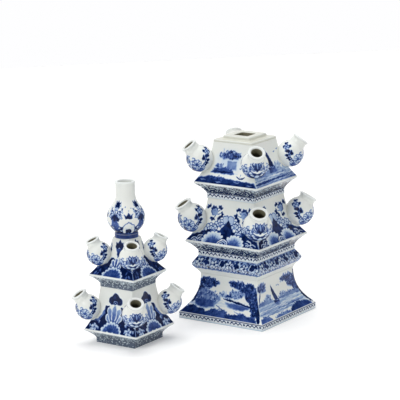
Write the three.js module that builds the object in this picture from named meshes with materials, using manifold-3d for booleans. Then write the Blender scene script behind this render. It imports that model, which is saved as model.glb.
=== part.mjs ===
// Tin-glazed flower pyramid of four square tiers, standing taken apart in its two sections.
// Millimetres, +Z up. Both sections stand on the plane z = 0 with their corners towards X and Y.
import * as THREE from 'three';
import { mergeVertices } from 'three/addons/utils/BufferGeometryUtils.js';
import Module from 'manifold-3d';

const wasm = await Module();
wasm.setup();

// Clay thicknesses and clearances
const wall = 4.2;              // square to the faces of the pedestal and the vessels
const floorThickness = 4.5;    // under the water of each tier
const lidThickness = 3;        // plate that closes the second tier
const spoutWall = 3;           // bulbs and necks of the spouts
const slipGap = 0.3;           // joint between a spout and the vessel it is luted to
const slipSpread = 1.25;       // widening of that joint across the sloping faces
const collarClearance = 1.5;   // between the collar and the foot that stacks on it, each side
const shelfFill = 8;           // depth of solid clay behind the sharp edge of a shelf

// Square pedestal with a straight foot and a concave flare
const pedestal = {
  footSide: 118,
  footHeight: 7.6,
  topSide: 79.6,
  height: 53.5,
  flareStartDrop: 22.5,        // how far below the top the flare leaves the upright
  flareEndRise: 12.4,          // how far above the foot, and
  flareEndInset: 24.6,         // how far inside it, the flare aims
};

// Cushion moulding between the pedestal and the first tier
const moulding = {
  undercutSide: 84.3,
  undercutHeight: 3.7,
  noseSide: 95.9,
  noseHeight: 11.2,
  noseRound: 1.7,
  hollowInset: 7.3,            // clay behind the nose
  height: 21.6,
};

// A tier is a hollow vessel: band, cove, sharp shelf and a sweep up to the wall's top
const tiers = {
  tier_1: {
    bandSide: 82.8,
    bandHeight: 6.1,
    shelfSide: 104.8,
    shelfHeight: 19,
    elbowSide: 72.1,
    elbowHeight: 37.9,
    topSide: 65,
    height: 68.5,
    spout: {
      height: 45.9,
      elevation: 58,
      bulb: 17.2,
      length: 21.5,
      neck: 9.6,
      lip: 11.2,
      bore: 7.3,
    },
  },
  tier_2: {
    bandSide: 66.3,
    bandHeight: 6.3,
    shelfSide: 88.8,
    shelfHeight: 19.8,
    elbowSide: 61.5,
    elbowHeight: 37.4,
    topSide: 53.4,
    height: 66.8,
    spout: {
      height: 47.6,
      elevation: 52,
      bulb: 16,
      length: 22,
      neck: 9,
      lip: 10.3,
      bore: 6.5,
    },
  },
  tier_3: {
    bandSide: 54.5,
    bandHeight: 5.8,
    shelfSide: 74,
    shelfHeight: 16,
    elbowSide: 51.6,
    elbowHeight: 33,
    topSide: 45.4,
    height: 65.2,
    spout: {
      height: 42,
      elevation: 57,
      bulb: 14.6,
      length: 20,
      neck: 8.5,
      lip: 9.7,
      bore: 6.1,
    },
  },
  tier_4: {
    bandSide: 45.5,
    bandHeight: 4,
    shelfSide: 64,
    shelfHeight: 14.6,
    elbowSide: 32.5,
    elbowHeight: 31.8,
    topSide: 22.9,
    height: 56.2,
    spout: {
      height: 38.8,
      elevation: 65,
      bulb: 14,
      length: 18.5,
      neck: 7.7,
      lip: 8.8,
      bore: 5.8,
    },
  },
};
const rimHeight = 1.3;         // upright edge of every shelf
const coveElbowOut = 0.35;     // where the cove turns, as shares of its overhang
const coveElbowUp = 0.6;       // and of its height
const bulbSeat = 5.4;          // how far a bulb is let over the vessel's corner
const waterwayRadius = 4;      // hole from each vessel into its spouts
const lipHeight = 2.8;         // rolled lip of a spout
const softening = 0.6;         // rounding of the lips, rings and mouths

// Low square collar on the lower section, over which the upper section's foot fits
const collar = { side: 36.9, height: 4.1, holeSide: 19.5 };
const footRecessDepth = collar.height + 1;

// Gourd-shaped neck on the top tier
const gourd = {
  ringRadius: 13.6,
  ringHeight: 6,
  grooveRadius: 12.6,
  bellyRadius: 21.7,
  bellyHeight: 22.5,
  bellyUndercut: 7.5,          // height over the ring at which the belly's foot turns out
  neckRadius: 11.1,
  neckStart: 50,
  shoulder: 13.5,              // upright stretch that eases the belly into the neck
  height: 64.6,
  lipRadius: 11.5,
  lipHeight: 3.4,
  mouthRadius: 8.3,
  drainRadius: 6.6,            // open way between the neck and the top tier
};

// Where the upper section stands beside the lower one
const upperStand = { x: -153.2, y: -74.1 };

// Facets
const spoutSides = 16;
const gourdSides = 24;
const flareSteps = 8;
const sweepSteps = 7;
const coveSteps = 3;

const glazeWhite = 0xe9ebe6;
const glazeBlueWhite = 0x9fabc9;
const glazeDeepBlue = 0x5d6f9f;

const cornerOf = (side) => side / Math.SQRT2;

// Merges the shared points of a closed geometry and makes it a solid
function solidOf(geometry) {
  geometry.deleteAttribute('normal');
  geometry.deleteAttribute('uv');
  const merged = mergeVertices(geometry, 1e-4);
  const corners = merged.index.array;
  const triangles = [];
  for (let i = 0; i < corners.length; i += 3) {
    const [a, b, c] = corners.slice(i, i + 3);
    if (a !== b && b !== c && c !== a) triangles.push(a, b, c);
  }
  return new wasm.Manifold(new wasm.Mesh({
    numProp: 3,
    vertProperties: merged.attributes.position.array,
    triVerts: new Uint32Array(triangles),
  }));
}

// Turns a profile of [radius, height] about the vertical axis
function turned(profile, sides) {
  const points = profile.map(([radius, height]) => new THREE.Vector2(radius, height));
  return solidOf(new THREE.LatheGeometry(points, sides).rotateX(Math.PI / 2));
}

// Makes a square solid from a profile of [side, height], its corners towards X and Y
function squared(profile) {
  return turned(profile.map(([side, height]) => [cornerOf(side), height]), 4);
}

function curve(points, steps) {
  const [first, ...rest] = points.map(([x, y]) => new THREE.Vector2(x, y));
  const path = rest.length === 3
    ? new THREE.CubicBezierCurve(first, ...rest)
    : new THREE.QuadraticBezierCurve(first, ...rest);
  return path.getPoints(steps).map((point) => [point.x, point.y]);
}

function meshOf(name, solid, colour) {
  const { vertProperties, triVerts } = solid.getMesh();
  const geometry = new THREE.BufferGeometry();
  geometry.setAttribute('position', new THREE.BufferAttribute(vertProperties, 3));
  geometry.setIndex(new THREE.BufferAttribute(triVerts, 1));
  geometry.computeVertexNormals();
  const material = new THREE.MeshStandardMaterial({ color: colour, roughness: 0.22, metalness: 0 });
  const mesh = new THREE.Mesh(geometry, material);
  mesh.name = name;
  return mesh;
}

// Pedestal, open underneath and above
function makePedestal() {
  const p = pedestal;
  const outside = curve([
    [p.footSide, p.footHeight],
    [p.footSide - p.flareEndInset, p.footHeight + p.flareEndRise],
    [p.topSide, p.height - p.flareStartDrop],
    [p.topSide, p.height],
  ], flareSteps);
  const inside = curve([
    [p.topSide - 2 * wall, p.height],
    [p.topSide - 2 * wall, p.height - p.flareStartDrop],
    [p.footSide - p.flareEndInset - 2 * wall, p.footHeight + p.flareEndRise - wall / 2],
    [p.footSide - 2 * wall, p.footHeight - wall / 2],
  ], flareSteps);
  const innerFoot = [p.footSide - 2 * wall, 0];
  return squared([innerFoot, [p.footSide, 0], ...outside, ...inside, innerFoot]);
}

// Moulding, a hollow square ring
function makeMoulding() {
  const m = moulding;
  const topSide = tiers.tier_1.bandSide;
  return squared([
    [pedestal.topSide - 2 * wall, 0],
    [pedestal.topSide, 0],
    [m.undercutSide, m.undercutHeight],
    [m.noseSide - 1.4 * m.noseRound, m.noseHeight - m.noseRound],
    [m.noseSide, m.noseHeight],
    [m.noseSide - m.noseRound, m.noseHeight + m.noseRound],
    [topSide, m.height],
    [topSide - 2 * wall, m.height],
    [m.noseSide - 2 * m.hollowInset, m.noseHeight],
    [pedestal.topSide - 2 * wall, 0],
  ]);
}

// Outline of a tier from the bottom of its band to the top of its wall
function tierOutline(t, inset = 0) {
  const overhang = t.shelfSide - t.bandSide;
  const rise = t.shelfHeight - rimHeight - t.bandHeight;
  const cove = curve([
    [t.bandSide, t.bandHeight],
    [t.bandSide + coveElbowOut * overhang, t.bandHeight + coveElbowUp * rise],
    [t.shelfSide, t.shelfHeight - rimHeight],
  ], coveSteps);
  return [[t.bandSide, 0], ...cove, ...tierSweep(t, 0)].map(([side, height]) => [side - 2 * inset, height]);
}

// Concave sweep from the shelf to the top of the wall, drawn in by an inset on each face
function tierSweep(t, inset) {
  return curve([
    [t.shelfSide, t.shelfHeight],
    [t.elbowSide, t.elbowHeight],
    [t.topSide, t.height],
  ], sweepSteps).map(([side, height]) => [side - 2 * inset, height]);
}

// Distance from the axis to the vessel's corner edge at a height on the sweep
function cornerAt(t, height) {
  const path = tierSweep(t, 0);
  const upper = path.findIndex(([, z]) => z >= height);
  const [lowSide, lowHeight] = path[upper - 1];
  const [highSide, highHeight] = path[upper];
  const share = (height - lowHeight) / (highHeight - lowHeight);
  return cornerOf(lowSide + share * (highSide - lowSide));
}

// Hollow inside a tier: walls of even thickness, with the shelf's edge left solid
function cavityOutline(t, floorTop) {
  const sweep = tierSweep(t, wall).filter(([, height]) => height > t.shelfHeight + wall / 2);
  return [
    [t.bandSide - 2 * wall, floorTop],
    [t.shelfSide - 2 * shelfFill, t.shelfHeight + wall / 4],
    ...sweep,
  ];
}

// Bulb's centre, as its distance from the axis of the section
const bulbReach = (t) => cornerAt(t, t.spout.height) + t.spout.bulb - bulbSeat;

// Round way for the water through the vessel's corner into the bulb, towards +X
function waterway(t) {
  const start = cornerAt(t, t.spout.height) - 3 * wall;
  const length = bulbReach(t) - start;
  const cylinder = new THREE.CylinderGeometry(waterwayRadius, waterwayRadius, length, 12);
  cylinder.rotateZ(Math.PI / 2).translate(start + length / 2, 0, t.spout.height);
  return solidOf(cylinder);
}

function withWaterways(solid, t) {
  let result = solid;
  for (let quarter = 0; quarter < 4; quarter += 1) {
    result = result.subtract(waterway(t).rotate([0, 0, 90 * quarter]));
  }
  return result;
}

// Vessel with an open top. A recess under its floor fits over the collar it stacks on.
function makeVessel(t, recess = null) {
  const bottom = recess
    ? [[0, recess.depth], [recess.side, recess.depth], [recess.side, 0]]
    : [[0, 0]];
  const floorTop = (recess ? recess.depth : 0) + floorThickness;
  const inside = cavityOutline(t, floorTop).reverse();
  return withWaterways(squared([...bottom, ...tierOutline(t), ...inside, [0, floorTop]]), t);
}

// Top tier: its wall is closed by a plate with a round hole under the neck
function makeTopVessel(t) {
  const inside = cavityOutline(t, floorThickness);
  const ceiling = t.height - lidThickness;
  const belowCeiling = inside.filter(([, height]) => height < ceiling);
  const closed = squared([[0, 0], ...tierOutline(t), [0, t.height]]);
  const hollow = squared([
    [0, floorThickness],
    ...belowCeiling,
    [t.topSide - 2 * wall, ceiling],
    [0, ceiling],
  ]);
  const drain = turned([
    [0, ceiling - 1],
    [gourd.drainRadius, ceiling - 1],
    [gourd.drainRadius, t.height + 1],
    [0, t.height + 1],
  ], gourdSides);
  return withWaterways(closed.subtract(hollow).subtract(drain), t);
}

// Lid of the lower section with the square collar and its hole
function makeCollar() {
  return squared([
    [collar.holeSide, 0],
    [tiers.tier_2.topSide, 0],
    [tiers.tier_2.topSide, lidThickness],
    [collar.side, lidThickness],
    [collar.side, lidThickness + collar.height],
    [collar.holeSide, lidThickness + collar.height],
    [collar.holeSide, 0],
  ]);
}

function arc(radius, fromDegrees, toDegrees, steps) {
  const points = [];
  for (let i = 0; i <= steps; i += 1) {
    const angle = THREE.MathUtils.degToRad(fromDegrees + (toDegrees - fromDegrees) * i / steps);
    points.push([radius * Math.cos(angle), radius * Math.sin(angle)]);
  }
  return points;
}

// Spout as turned on its own axis: closed bulb, short neck, rolled lip and open mouth
function spoutShell(s) {
  const inner = s.bulb - spoutWall;
  const outerEnd = THREE.MathUtils.radToDeg(Math.acos((s.neck + softening) / s.bulb));
  const innerEnd = THREE.MathUtils.radToDeg(Math.acos(s.bore / inner));
  const outside = arc(s.bulb, -90, outerEnd, 6);
  const inside = arc(inner, innerEnd, -90, 4);
  outside[0][0] = 0;
  inside[inside.length - 1][0] = 0;
  return turned([
    ...outside,
    [s.neck, s.length - lipHeight - softening],
    [s.lip, s.length - lipHeight / 2],
    [s.lip - softening, s.length - softening / 2],
    [s.bore + 2 * softening, s.length],
    [s.bore, s.length - 2 * softening],
    ...inside,
  ], spoutSides);
}

// Spout luted over the +X corner of its vessel
function makeSpout(t) {
  const s = t.spout;
  const vesselBody = squared([
    [0, 0],
    ...tierOutline(t, -slipSpread * slipGap),
    [0, t.height],
  ]);
  return spoutShell(s)
    .rotate([0, 90 - s.elevation, 0])
    .translate([bulbReach(t), 0, s.height])
    .subtract(vesselBody)
    .subtract(waterway(t));
}

// Gourd neck with its ring, open at both ends
function makeGourd() {
  const g = gourd;
  const innerNeck = g.neckRadius - spoutWall;
  const innerBelly = g.bellyRadius - spoutWall;
  const outside = [
    [g.ringRadius - softening, 0],
    [g.ringRadius, 2 * softening],
    [g.ringRadius, g.ringHeight - 2 * softening],
    [g.grooveRadius, g.ringHeight],
    ...curve([
      [g.grooveRadius + softening, g.ringHeight + 2],
      [g.bellyRadius, g.ringHeight + g.bellyUndercut],
      [g.bellyRadius, g.bellyHeight],
    ], 5),
    ...curve([
      [g.bellyRadius, g.bellyHeight],
      [g.bellyRadius, g.bellyHeight + g.shoulder],
      [g.neckRadius, g.neckStart - g.shoulder],
      [g.neckRadius, g.neckStart],
    ], 8).slice(1),
    [g.neckRadius, g.height - g.lipHeight],
    [g.lipRadius, g.height - g.lipHeight + 2 * softening],
    [g.lipRadius - softening, g.height - softening],
    [g.lipRadius - 2 * softening, g.height],
  ];
  const inside = [
    [g.mouthRadius, g.height - softening],
    ...curve([
      [innerNeck, g.neckStart],
      [innerNeck, g.neckStart - g.shoulder],
      [innerBelly, g.bellyHeight + g.shoulder],
      [innerBelly, g.bellyHeight],
    ], 6),
    ...curve([
      [innerBelly, g.bellyHeight],
      [innerBelly, g.ringHeight + g.bellyUndercut],
      [g.drainRadius, g.ringHeight + spoutWall],
    ], 4).slice(1),
    [g.drainRadius, 0],
  ];
  return turned([...outside, ...inside, outside[0]], gourdSides);
}

// Four spouts of a tier share one shape, turned by quarters onto the vessel's corners
const quarterNames = ['right', 'back', 'left', 'front'];

function addTier(section, name, bottom, vessel, colour) {
  const t = tiers[name];
  const group = new THREE.Group();
  group.position.z = bottom;
  group.add(meshOf(`${name}_vessel`, vessel, colour));
  const spout = makeSpout(t);
  quarterNames.forEach((side, quarter) => {
    const mesh = meshOf(`${name}_spout_${side}`, spout, glazeWhite);
    mesh.rotation.z = quarter * Math.PI / 2;
    group.add(mesh);
  });
  section.add(group);
}

function addPiece(section, name, bottom, solid, colour) {
  const mesh = meshOf(name, solid, colour);
  mesh.position.z = bottom;
  section.add(mesh);
}

function makeLowerSection() {
  const section = new THREE.Group();
  const tier1Bottom = pedestal.height + moulding.height;
  const tier2Bottom = tier1Bottom + tiers.tier_1.height;
  const lidBottom = tier2Bottom + tiers.tier_2.height;
  addPiece(section, 'pedestal', 0, makePedestal(), glazeDeepBlue);
  addPiece(section, 'waist_moulding', pedestal.height, makeMoulding(), glazeBlueWhite);
  addTier(section, 'tier_1', tier1Bottom, makeVessel(tiers.tier_1), glazeDeepBlue);
  addTier(section, 'tier_2', tier2Bottom, makeVessel(tiers.tier_2), glazeBlueWhite);
  addPiece(section, 'stacking_collar', lidBottom, makeCollar(), glazeWhite);
  return section;
}

function makeUpperSection() {
  const section = new THREE.Group();
  const recess = { side: collar.side + 2 * collarClearance, depth: footRecessDepth };
  const tier4Bottom = tiers.tier_3.height;
  const gourdBottom = tier4Bottom + tiers.tier_4.height;
  addTier(section, 'tier_3', 0, makeVessel(tiers.tier_3, recess), glazeDeepBlue);
  addTier(section, 'tier_4', tier4Bottom, makeTopVessel(tiers.tier_4), glazeBlueWhite);
  addPiece(section, 'gourd_neck', gourdBottom, makeGourd(), glazeWhite);
  section.position.set(upperStand.x, upperStand.y, 0);
  return section;
}

// The origin lies on the standing plane, under the middle of the pair's bounding box
const pyramid = new THREE.Group();
pyramid.add(makeLowerSection(), makeUpperSection());
const bounds = new THREE.Box3().setFromObject(pyramid);
const middle = bounds.getCenter(new THREE.Vector3());
pyramid.position.set(-middle.x, -middle.y, 0);

export default pyramid;
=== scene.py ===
# Looks of a square four-tier tulip vase in blue-and-white tin-glazed earthenware.
# It stands taken apart in its two stacking sections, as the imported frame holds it.
import math

import bpy
import numpy as np
from mathutils import Matrix, Vector


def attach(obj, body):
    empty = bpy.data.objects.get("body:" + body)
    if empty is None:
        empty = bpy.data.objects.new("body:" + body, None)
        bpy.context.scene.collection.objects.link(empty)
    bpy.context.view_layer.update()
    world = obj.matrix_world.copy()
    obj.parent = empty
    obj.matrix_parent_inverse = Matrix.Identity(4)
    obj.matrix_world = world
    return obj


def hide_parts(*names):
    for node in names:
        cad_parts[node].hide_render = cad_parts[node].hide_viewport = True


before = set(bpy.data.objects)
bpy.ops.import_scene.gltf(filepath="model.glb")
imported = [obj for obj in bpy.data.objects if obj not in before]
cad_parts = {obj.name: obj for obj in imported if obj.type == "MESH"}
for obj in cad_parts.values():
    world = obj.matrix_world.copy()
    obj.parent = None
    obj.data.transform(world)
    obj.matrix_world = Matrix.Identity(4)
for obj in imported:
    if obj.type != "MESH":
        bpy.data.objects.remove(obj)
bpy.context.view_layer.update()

# Sizes in millimetres, the same as the solids'. Sides are full widths of the squares.
MM = 0.001
WALL = 4.2
FLOOR = 4.5
LID = 3
SPOUT_WALL = 3
LIP = 2.8
SOFTENING = 0.6
SHELF_FILL = 8
RIM = 1.3
COVE_ELBOW = (0.35, 0.6)
CORNER_RADIUS = 0.9
LOWER_AXIS = (66.622, 27.065)
UPPER_AXIS = (-86.578, -47.035)
PEDESTAL = {
    "foot_side": 118, "foot_height": 7.6, "top_side": 79.6, "height": 53.5,
    "start_drop": 22.5, "end_rise": 12.4, "end_inset": 24.6,
}
MOULDING = {
    "undercut_side": 84.3, "undercut_height": 3.7, "nose_side": 95.9, "nose_height": 11.2,
    "nose_round": 1.7, "height": 21.6,
}
COLLAR = {"side": 36.9, "height": 4.1, "hole_side": 19.5, "clearance": 1.5}
# where a tier stands, then the side and height of its band, shelf, elbow and top
TIER_PARTS = ("bottom", "band", "shelf", "elbow", "top")
TIERS = {
    "tier_1": dict(zip(TIER_PARTS, (75.1, (82.8, 6.1), (104.8, 19), (72.1, 37.9), (65, 68.5)))),
    "tier_2": dict(zip(TIER_PARTS, (143.6, (66.3, 6.3), (88.8, 19.8), (61.5, 37.4), (53.4, 66.8)))),
    "tier_3": dict(zip(TIER_PARTS, (0, (54.5, 5.8), (74, 16), (51.6, 33), (45.4, 65.2)))),
    "tier_4": dict(zip(TIER_PARTS, (65.2, (45.5, 4), (64, 14.6), (32.5, 31.8), (22.9, 56.2)))),
}
# a spout's elevation is in degrees, and its bulb, neck, lip and bore are radii
SPOUT_PARTS = ("height", "elevation", "reach", "bulb", "length", "neck", "lip", "bore")
SPOUTS = {
    "tier_1": dict(zip(SPOUT_PARTS, (45.9, 58, 64.75, 17.2, 21.5, 9.6, 11.2, 7.3))),
    "tier_2": dict(zip(SPOUT_PARTS, (47.6, 52, 54.15, 16, 22, 9, 10.3, 6.5))),
    "tier_3": dict(zip(SPOUT_PARTS, (42, 57, 46.66, 14.6, 20, 8.5, 9.7, 6.1))),
    "tier_4": dict(zip(SPOUT_PARTS, (38.8, 65, 32.22, 14, 18.5, 7.7, 8.8, 5.8))),
}
GOURD = {
    "bottom": 121.4, "ring": 13.6, "ring_height": 6, "groove": 12.6, "belly": 21.7, "belly_height": 22.5,
    "undercut": 7.5, "neck": 11.1, "neck_start": 50, "shoulder": 13.5, "height": 64.6, "lip": 11.5,
    "lip_height": 3.4, "mouth": 8.3, "drain": 6.6,
}

# Faces across one wall of a square piece, or round a turned one
COLUMNS = {
    "pedestal": 170, "waist": 150, "tier_1": 150, "tier_2": 140, "tier_3": 130, "tier_4": 110,
    "collar": 50, "spout": 124, "gourd": 200,
}

# Strengths of cobalt on the glaze
NAVY = 0.97
DARK = 0.84
BLUE = 0.66
MID = 0.5
WASH = 0.28
PALE = 0.14
BARE = 0.02

# Noises of the surfaces, with scales per metre: 190 is a change about every 5 mm
POOLS = {"Scale": 190.0, "Detail": 2.0}
STREAKS = {"Scale": 900.0, "Detail": 1.0}
TINTS = {"Scale": 35.0, "Detail": 3.0}
RIPPLES = {"Scale": 70.0, "Detail": 2.0}
CLAY_GRAINS = {"Scale": 600.0, "Detail": 4.0}
PAPER_TOOTH = {"Scale": 400.0, "Detail": 2.0}

# How much cobalt a brush leaves: its least, and what the pools and the streaks add
LEAST_LOAD = 0.56
POOLING = 0.7
STREAKING = 0.26

# Colours from the bare glaze, which comes first, to the deepest blue
GLAZE_WHITE = "EFF0EE"
THIN_GLAZE_WHITE = "DCDBD2"
COBALT_RAMP = (
    (0.14, "CAD9EC"), (0.34, "8CA6D2"), (0.56, "4863A6"), (0.76, "1C3878"), (1.0, "001340"),
)

# Borders in millimetres: the length, rise and foot of an arch, and a run of arches with its dot
ARCH = 5.6
ARCH_RISE = 2.3
ARCH_FOOT = -1.1
HALF_RUN = 2 * ARCH
PLAIN, ARCHES, NET, FINE_NET = 0, 1, 2, 3


# Nodes and materials
def srgb(text):
    """A colour written as sRGB hex, in the linear values that Blender reads."""
    parts = [int(text[i:i + 2], 16) / 255 for i in (0, 2, 4)]
    return [p / 12.92 if p <= 0.04045 else ((p + 0.055) / 1.055) ** 2.4 for p in parts] + [1]


def add(tree, kind, links=None, **settings):
    """Adds a node with its settings. An input takes a value, a socket, or a node's first output."""
    node = tree.nodes.new(kind)
    for name, value in settings.items():
        setattr(node, name, value)
    for key, value in (links or {}).items():
        if isinstance(value, bpy.types.Node):
            value = value.outputs[0]
        if isinstance(value, bpy.types.NodeSocket):
            tree.links.new(value, node.inputs[key])
        else:
            node.inputs[key].default_value = value
    return node


def fresh_material(name):
    """An empty node material and its tree."""
    material = bpy.data.materials.new(name)
    material.use_nodes = True
    material.node_tree.nodes.clear()
    return material, material.node_tree


def cobalt_painted_glaze(name, borders, white=GLAZE_WHITE):
    """Cobalt painted on raw tin glaze and fired with it: blue sunk in a thick, glossy off-white."""
    material, tree = fresh_material(name)
    place = add(tree, "ShaderNodeTexCoord").outputs["Object"]
    painted = add(tree, "ShaderNodeAttribute", attribute_name="cobalt").outputs["Fac"]
    if borders:
        wavy, net, is_net = border_lines(tree)
        painted = add(tree, "ShaderNodeMath", {0: painted, 1: wavy}, operation="MAXIMUM")
    # brush loads: the blue pools and thins over about 5 mm, and streaks over 1 mm
    pool = add(tree, "ShaderNodeTexNoise", {"Vector": place, **POOLS})
    streak = add(tree, "ShaderNodeTexNoise", {"Vector": place, **STREAKS})
    load = add(tree, "ShaderNodeMath", {0: pool, 1: POOLING, 2: LEAST_LOAD}, operation="MULTIPLY_ADD")
    load = add(tree, "ShaderNodeMath", {0: streak, 1: STREAKING, 2: load}, operation="MULTIPLY_ADD")
    cobalt = add(tree, "ShaderNodeMath", {0: painted, 1: load}, operation="MULTIPLY", use_clamp=True)
    blue = add(tree, "ShaderNodeValToRGB", {"Fac": cobalt})
    stops = blue.color_ramp.elements
    ramp = ((0.0, white), *COBALT_RAMP)
    while len(stops) < len(ramp):
        stops.new(0.5)
    for stop, (position, tone) in zip(stops, ramp):
        stop.position = position
        stop.color = srgb(tone)
    colour = blue.outputs[0]
    # a Mix node takes its factor at 0 and its colours at 6 and 7, and gives the mixed colour at 2
    if borders:
        # the net is painted greyer, and its white shows the glaze
        between = {0: net, 6: srgb("D6E4EE"), 7: srgb("182A50")}
        grey = add(tree, "ShaderNodeMix", between, data_type="RGBA").outputs[2]
        colour = add(tree, "ShaderNodeMix", {0: is_net, 6: colour, 7: grey}, data_type="RGBA").outputs[2]
    # tin glaze is faintly green where thick and warm where thin, over 30 mm
    tint = add(tree, "ShaderNodeTexNoise", {"Vector": place, **TINTS})
    between = {0: tint, 6: srgb("F0F6F4"), 7: srgb("FCFAF6")}
    tint = add(tree, "ShaderNodeMix", between, data_type="RGBA").outputs[2]
    tinted = {0: 1.0, 6: colour, 7: tint}
    colour = add(tree, "ShaderNodeMix", tinted, data_type="RGBA", blend_type="MULTIPLY").outputs[2]
    # edges where the glaze has run thin over the brushwork and bridged it white; the lighter edge is also a
    # painted highlight along the rims and bends
    thin_edge_highlight = add(tree, "ShaderNodeAttribute", attribute_name="thin_edge_highlight").outputs["Fac"]
    thin_edge_highlight = add(tree, "ShaderNodeMath", {0: thin_edge_highlight, 1: 0.5}, operation="MULTIPLY")
    bridged_and_highlit = {0: thin_edge_highlight, 6: colour, 7: srgb("E9EEEF")}
    colour = add(tree, "ShaderNodeMix", bridged_and_highlit, data_type="RGBA").outputs[2]
    # the glaze lies in shallow waves about 14 mm long, glossier in their hollows
    ripple = add(tree, "ShaderNodeTexNoise", {"Vector": place, **RIPPLES})
    bump = add(tree, "ShaderNodeBump", {"Height": ripple, "Strength": 0.12, "Distance": 0.0012})
    gloss = add(tree, "ShaderNodeMapRange", {"Value": ripple, 1: 0.3, 2: 0.7, 3: 0.1, 4: 0.18})
    shine = {"Roughness": gloss, "Normal": bump, "IOR": 1.5, "Specular IOR Level": 0.22}
    shader = add(tree, "ShaderNodeBsdfPrincipled", {"Base Color": colour, **shine})
    add(tree, "ShaderNodeOutputMaterial", {"Surface": shader})
    return material


def border_lines(tree):
    """The wavy band and the net, drawn on the border map: x along, y across, z the kind, in mm."""
    places = add(tree, "ShaderNodeAttribute", attribute_name="border").outputs["Vector"]
    along, across, kind = add(tree, "ShaderNodeSeparateXYZ", {0: places}).outputs
    # arches in runs of three with a dot between the runs: the real ones are a little finer
    wave = add(tree, "ShaderNodeMath", {0: along, 1: math.pi / ARCH}, operation="MULTIPLY")
    for operation in ("COSINE", "ABSOLUTE"):
        wave = add(tree, "ShaderNodeMath", {0: wave}, operation=operation)
    wave = add(tree, "ShaderNodeMath", {0: wave, 1: ARCH_RISE, 2: ARCH_FOOT}, operation="MULTIPLY_ADD")
    gap = add(tree, "ShaderNodeMath", {0: wave, 1: across}, operation="SUBTRACT")
    gap = add(tree, "ShaderNodeMath", {0: gap}, operation="ABSOLUTE")
    # a Map Range node takes its range at 1 and 2, and what that becomes at 3 and 4
    line = add(tree, "ShaderNodeMapRange", {"Value": gap, 1: 0.5, 2: 1.0, 3: 1.0, 4: 0.0})
    bay = add(tree, "ShaderNodeMath", {0: along, 1: HALF_RUN}, operation="PINGPONG")
    bay = add(tree, "ShaderNodeMath", {0: HALF_RUN, 1: bay}, operation="SUBTRACT")
    clear = add(tree, "ShaderNodeMapRange", {"Value": bay, 1: 2.4, 2: 2.8, 3: 0.0, 4: 1.0})
    drawn = add(tree, "ShaderNodeMath", {0: line, 1: clear}, operation="MULTIPLY")
    spot = add(tree, "ShaderNodeCombineXYZ", {0: bay, 1: across})
    spot = add(tree, "ShaderNodeVectorMath", {0: spot, 1: (0.0, 0.4, 0.0)}, operation="DISTANCE")
    spot = add(tree, "ShaderNodeMapRange", {"Value": spot.outputs["Value"], 1: 1.0, 2: 1.5, 3: 1.0, 4: 0.0})
    rule = add(tree, "ShaderNodeMapRange", {"Value": across, 1: 2.1, 2: 2.5, 3: 0.05, 4: 0.92})
    # a pale blue along the band's lower edge is a painted shadow where the band meets what it stands on
    foot = add(tree, "ShaderNodeMapRange", {"Value": across, 1: -2.7, 2: -2.3, 3: 0.15, 4: 0.0})
    for mark in (spot, rule, foot):
        drawn = add(tree, "ShaderNodeMath", {0: drawn, 1: mark}, operation="MAXIMUM")
    is_wavy = add(tree, "ShaderNodeMath", {0: kind, 1: float(ARCHES), 2: 0.4}, operation="COMPARE")
    wavy = add(tree, "ShaderNodeMath", {0: drawn, 1: is_wavy}, operation="MULTIPLY")
    # pale dots about 2.4 by 1.7 mm, set unevenly: the real net is finer, and would blur to a flat grey
    squeezed = add(tree, "ShaderNodeVectorMath", {0: places, 1: (0.42, 0.6, 1.0)}, operation="MULTIPLY")
    dots = add(tree, "ShaderNodeTexVoronoi", {"Vector": squeezed, "Scale": 1.0, "Randomness": 0.85})
    patch = add(tree, "ShaderNodeTexNoise", {"Vector": places, "Scale": 0.25, "Detail": 1.0})
    uneven = {0: patch, 1: -0.5, 2: dots.outputs["Distance"]}
    dots = add(tree, "ShaderNodeMath", uneven, operation="MULTIPLY_ADD")
    # the net is darker towards the lower edge of a cove, as painted shade under the shelf
    low = add(tree, "ShaderNodeMath", {0: across, 1: -0.02, 2: dots}, operation="MULTIPLY_ADD")
    kinds = {1: float(NET), 2: float(FINE_NET)}
    depth = add(tree, "ShaderNodeMapRange", {"Value": kind, **kinds, 3: 1.0, 4: 0.86})
    net = add(tree, "ShaderNodeMapRange", {"Value": low, 1: 0.0, 2: 0.3, 3: 0.0, 4: depth})
    is_net = add(tree, "ShaderNodeMath", {0: kind, 1: 1.5}, operation="GREATER_THAN")
    return wavy, net, is_net


def shaded_bare_clay():
    """Unglazed earthenware inside the vessels: matt, buff-brown, dusty, and dark as painted shade in the
    insides, mouths and holes.
    """
    material, tree = fresh_material("unglazed_earthenware_in_painted_shade")
    place = add(tree, "ShaderNodeTexCoord").outputs["Object"]
    grain = add(tree, "ShaderNodeTexNoise", {"Vector": place, **CLAY_GRAINS})
    between = {0: grain, 6: srgb("6E6B56"), 7: srgb("8E8A73")}
    colour = add(tree, "ShaderNodeMix", between, data_type="RGBA").outputs[2]
    bump = add(tree, "ShaderNodeBump", {"Height": grain, "Strength": 0.3, "Distance": 0.0004})
    shader = add(tree, "ShaderNodeBsdfPrincipled", {"Base Color": colour, "Roughness": 0.85, "Normal": bump})
    add(tree, "ShaderNodeOutputMaterial", {"Surface": shader})
    return material


# Shells grown from the section through a wall
# rows inside that are unglazed, take the dark clay as painted shade, and aren't softened
UNGLAZED_IN_SHADE = {"bare_in_shade": 1, "soft": 0}
# degrees of bend at which the glaze begins to run thin and the edge is painted lighter as a highlight, and
# over which it gets thinnest and lightest
THIN_AND_HIGHLIGHT_FROM = 16
THIN_AND_HIGHLIGHT_OVER = 30


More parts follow.
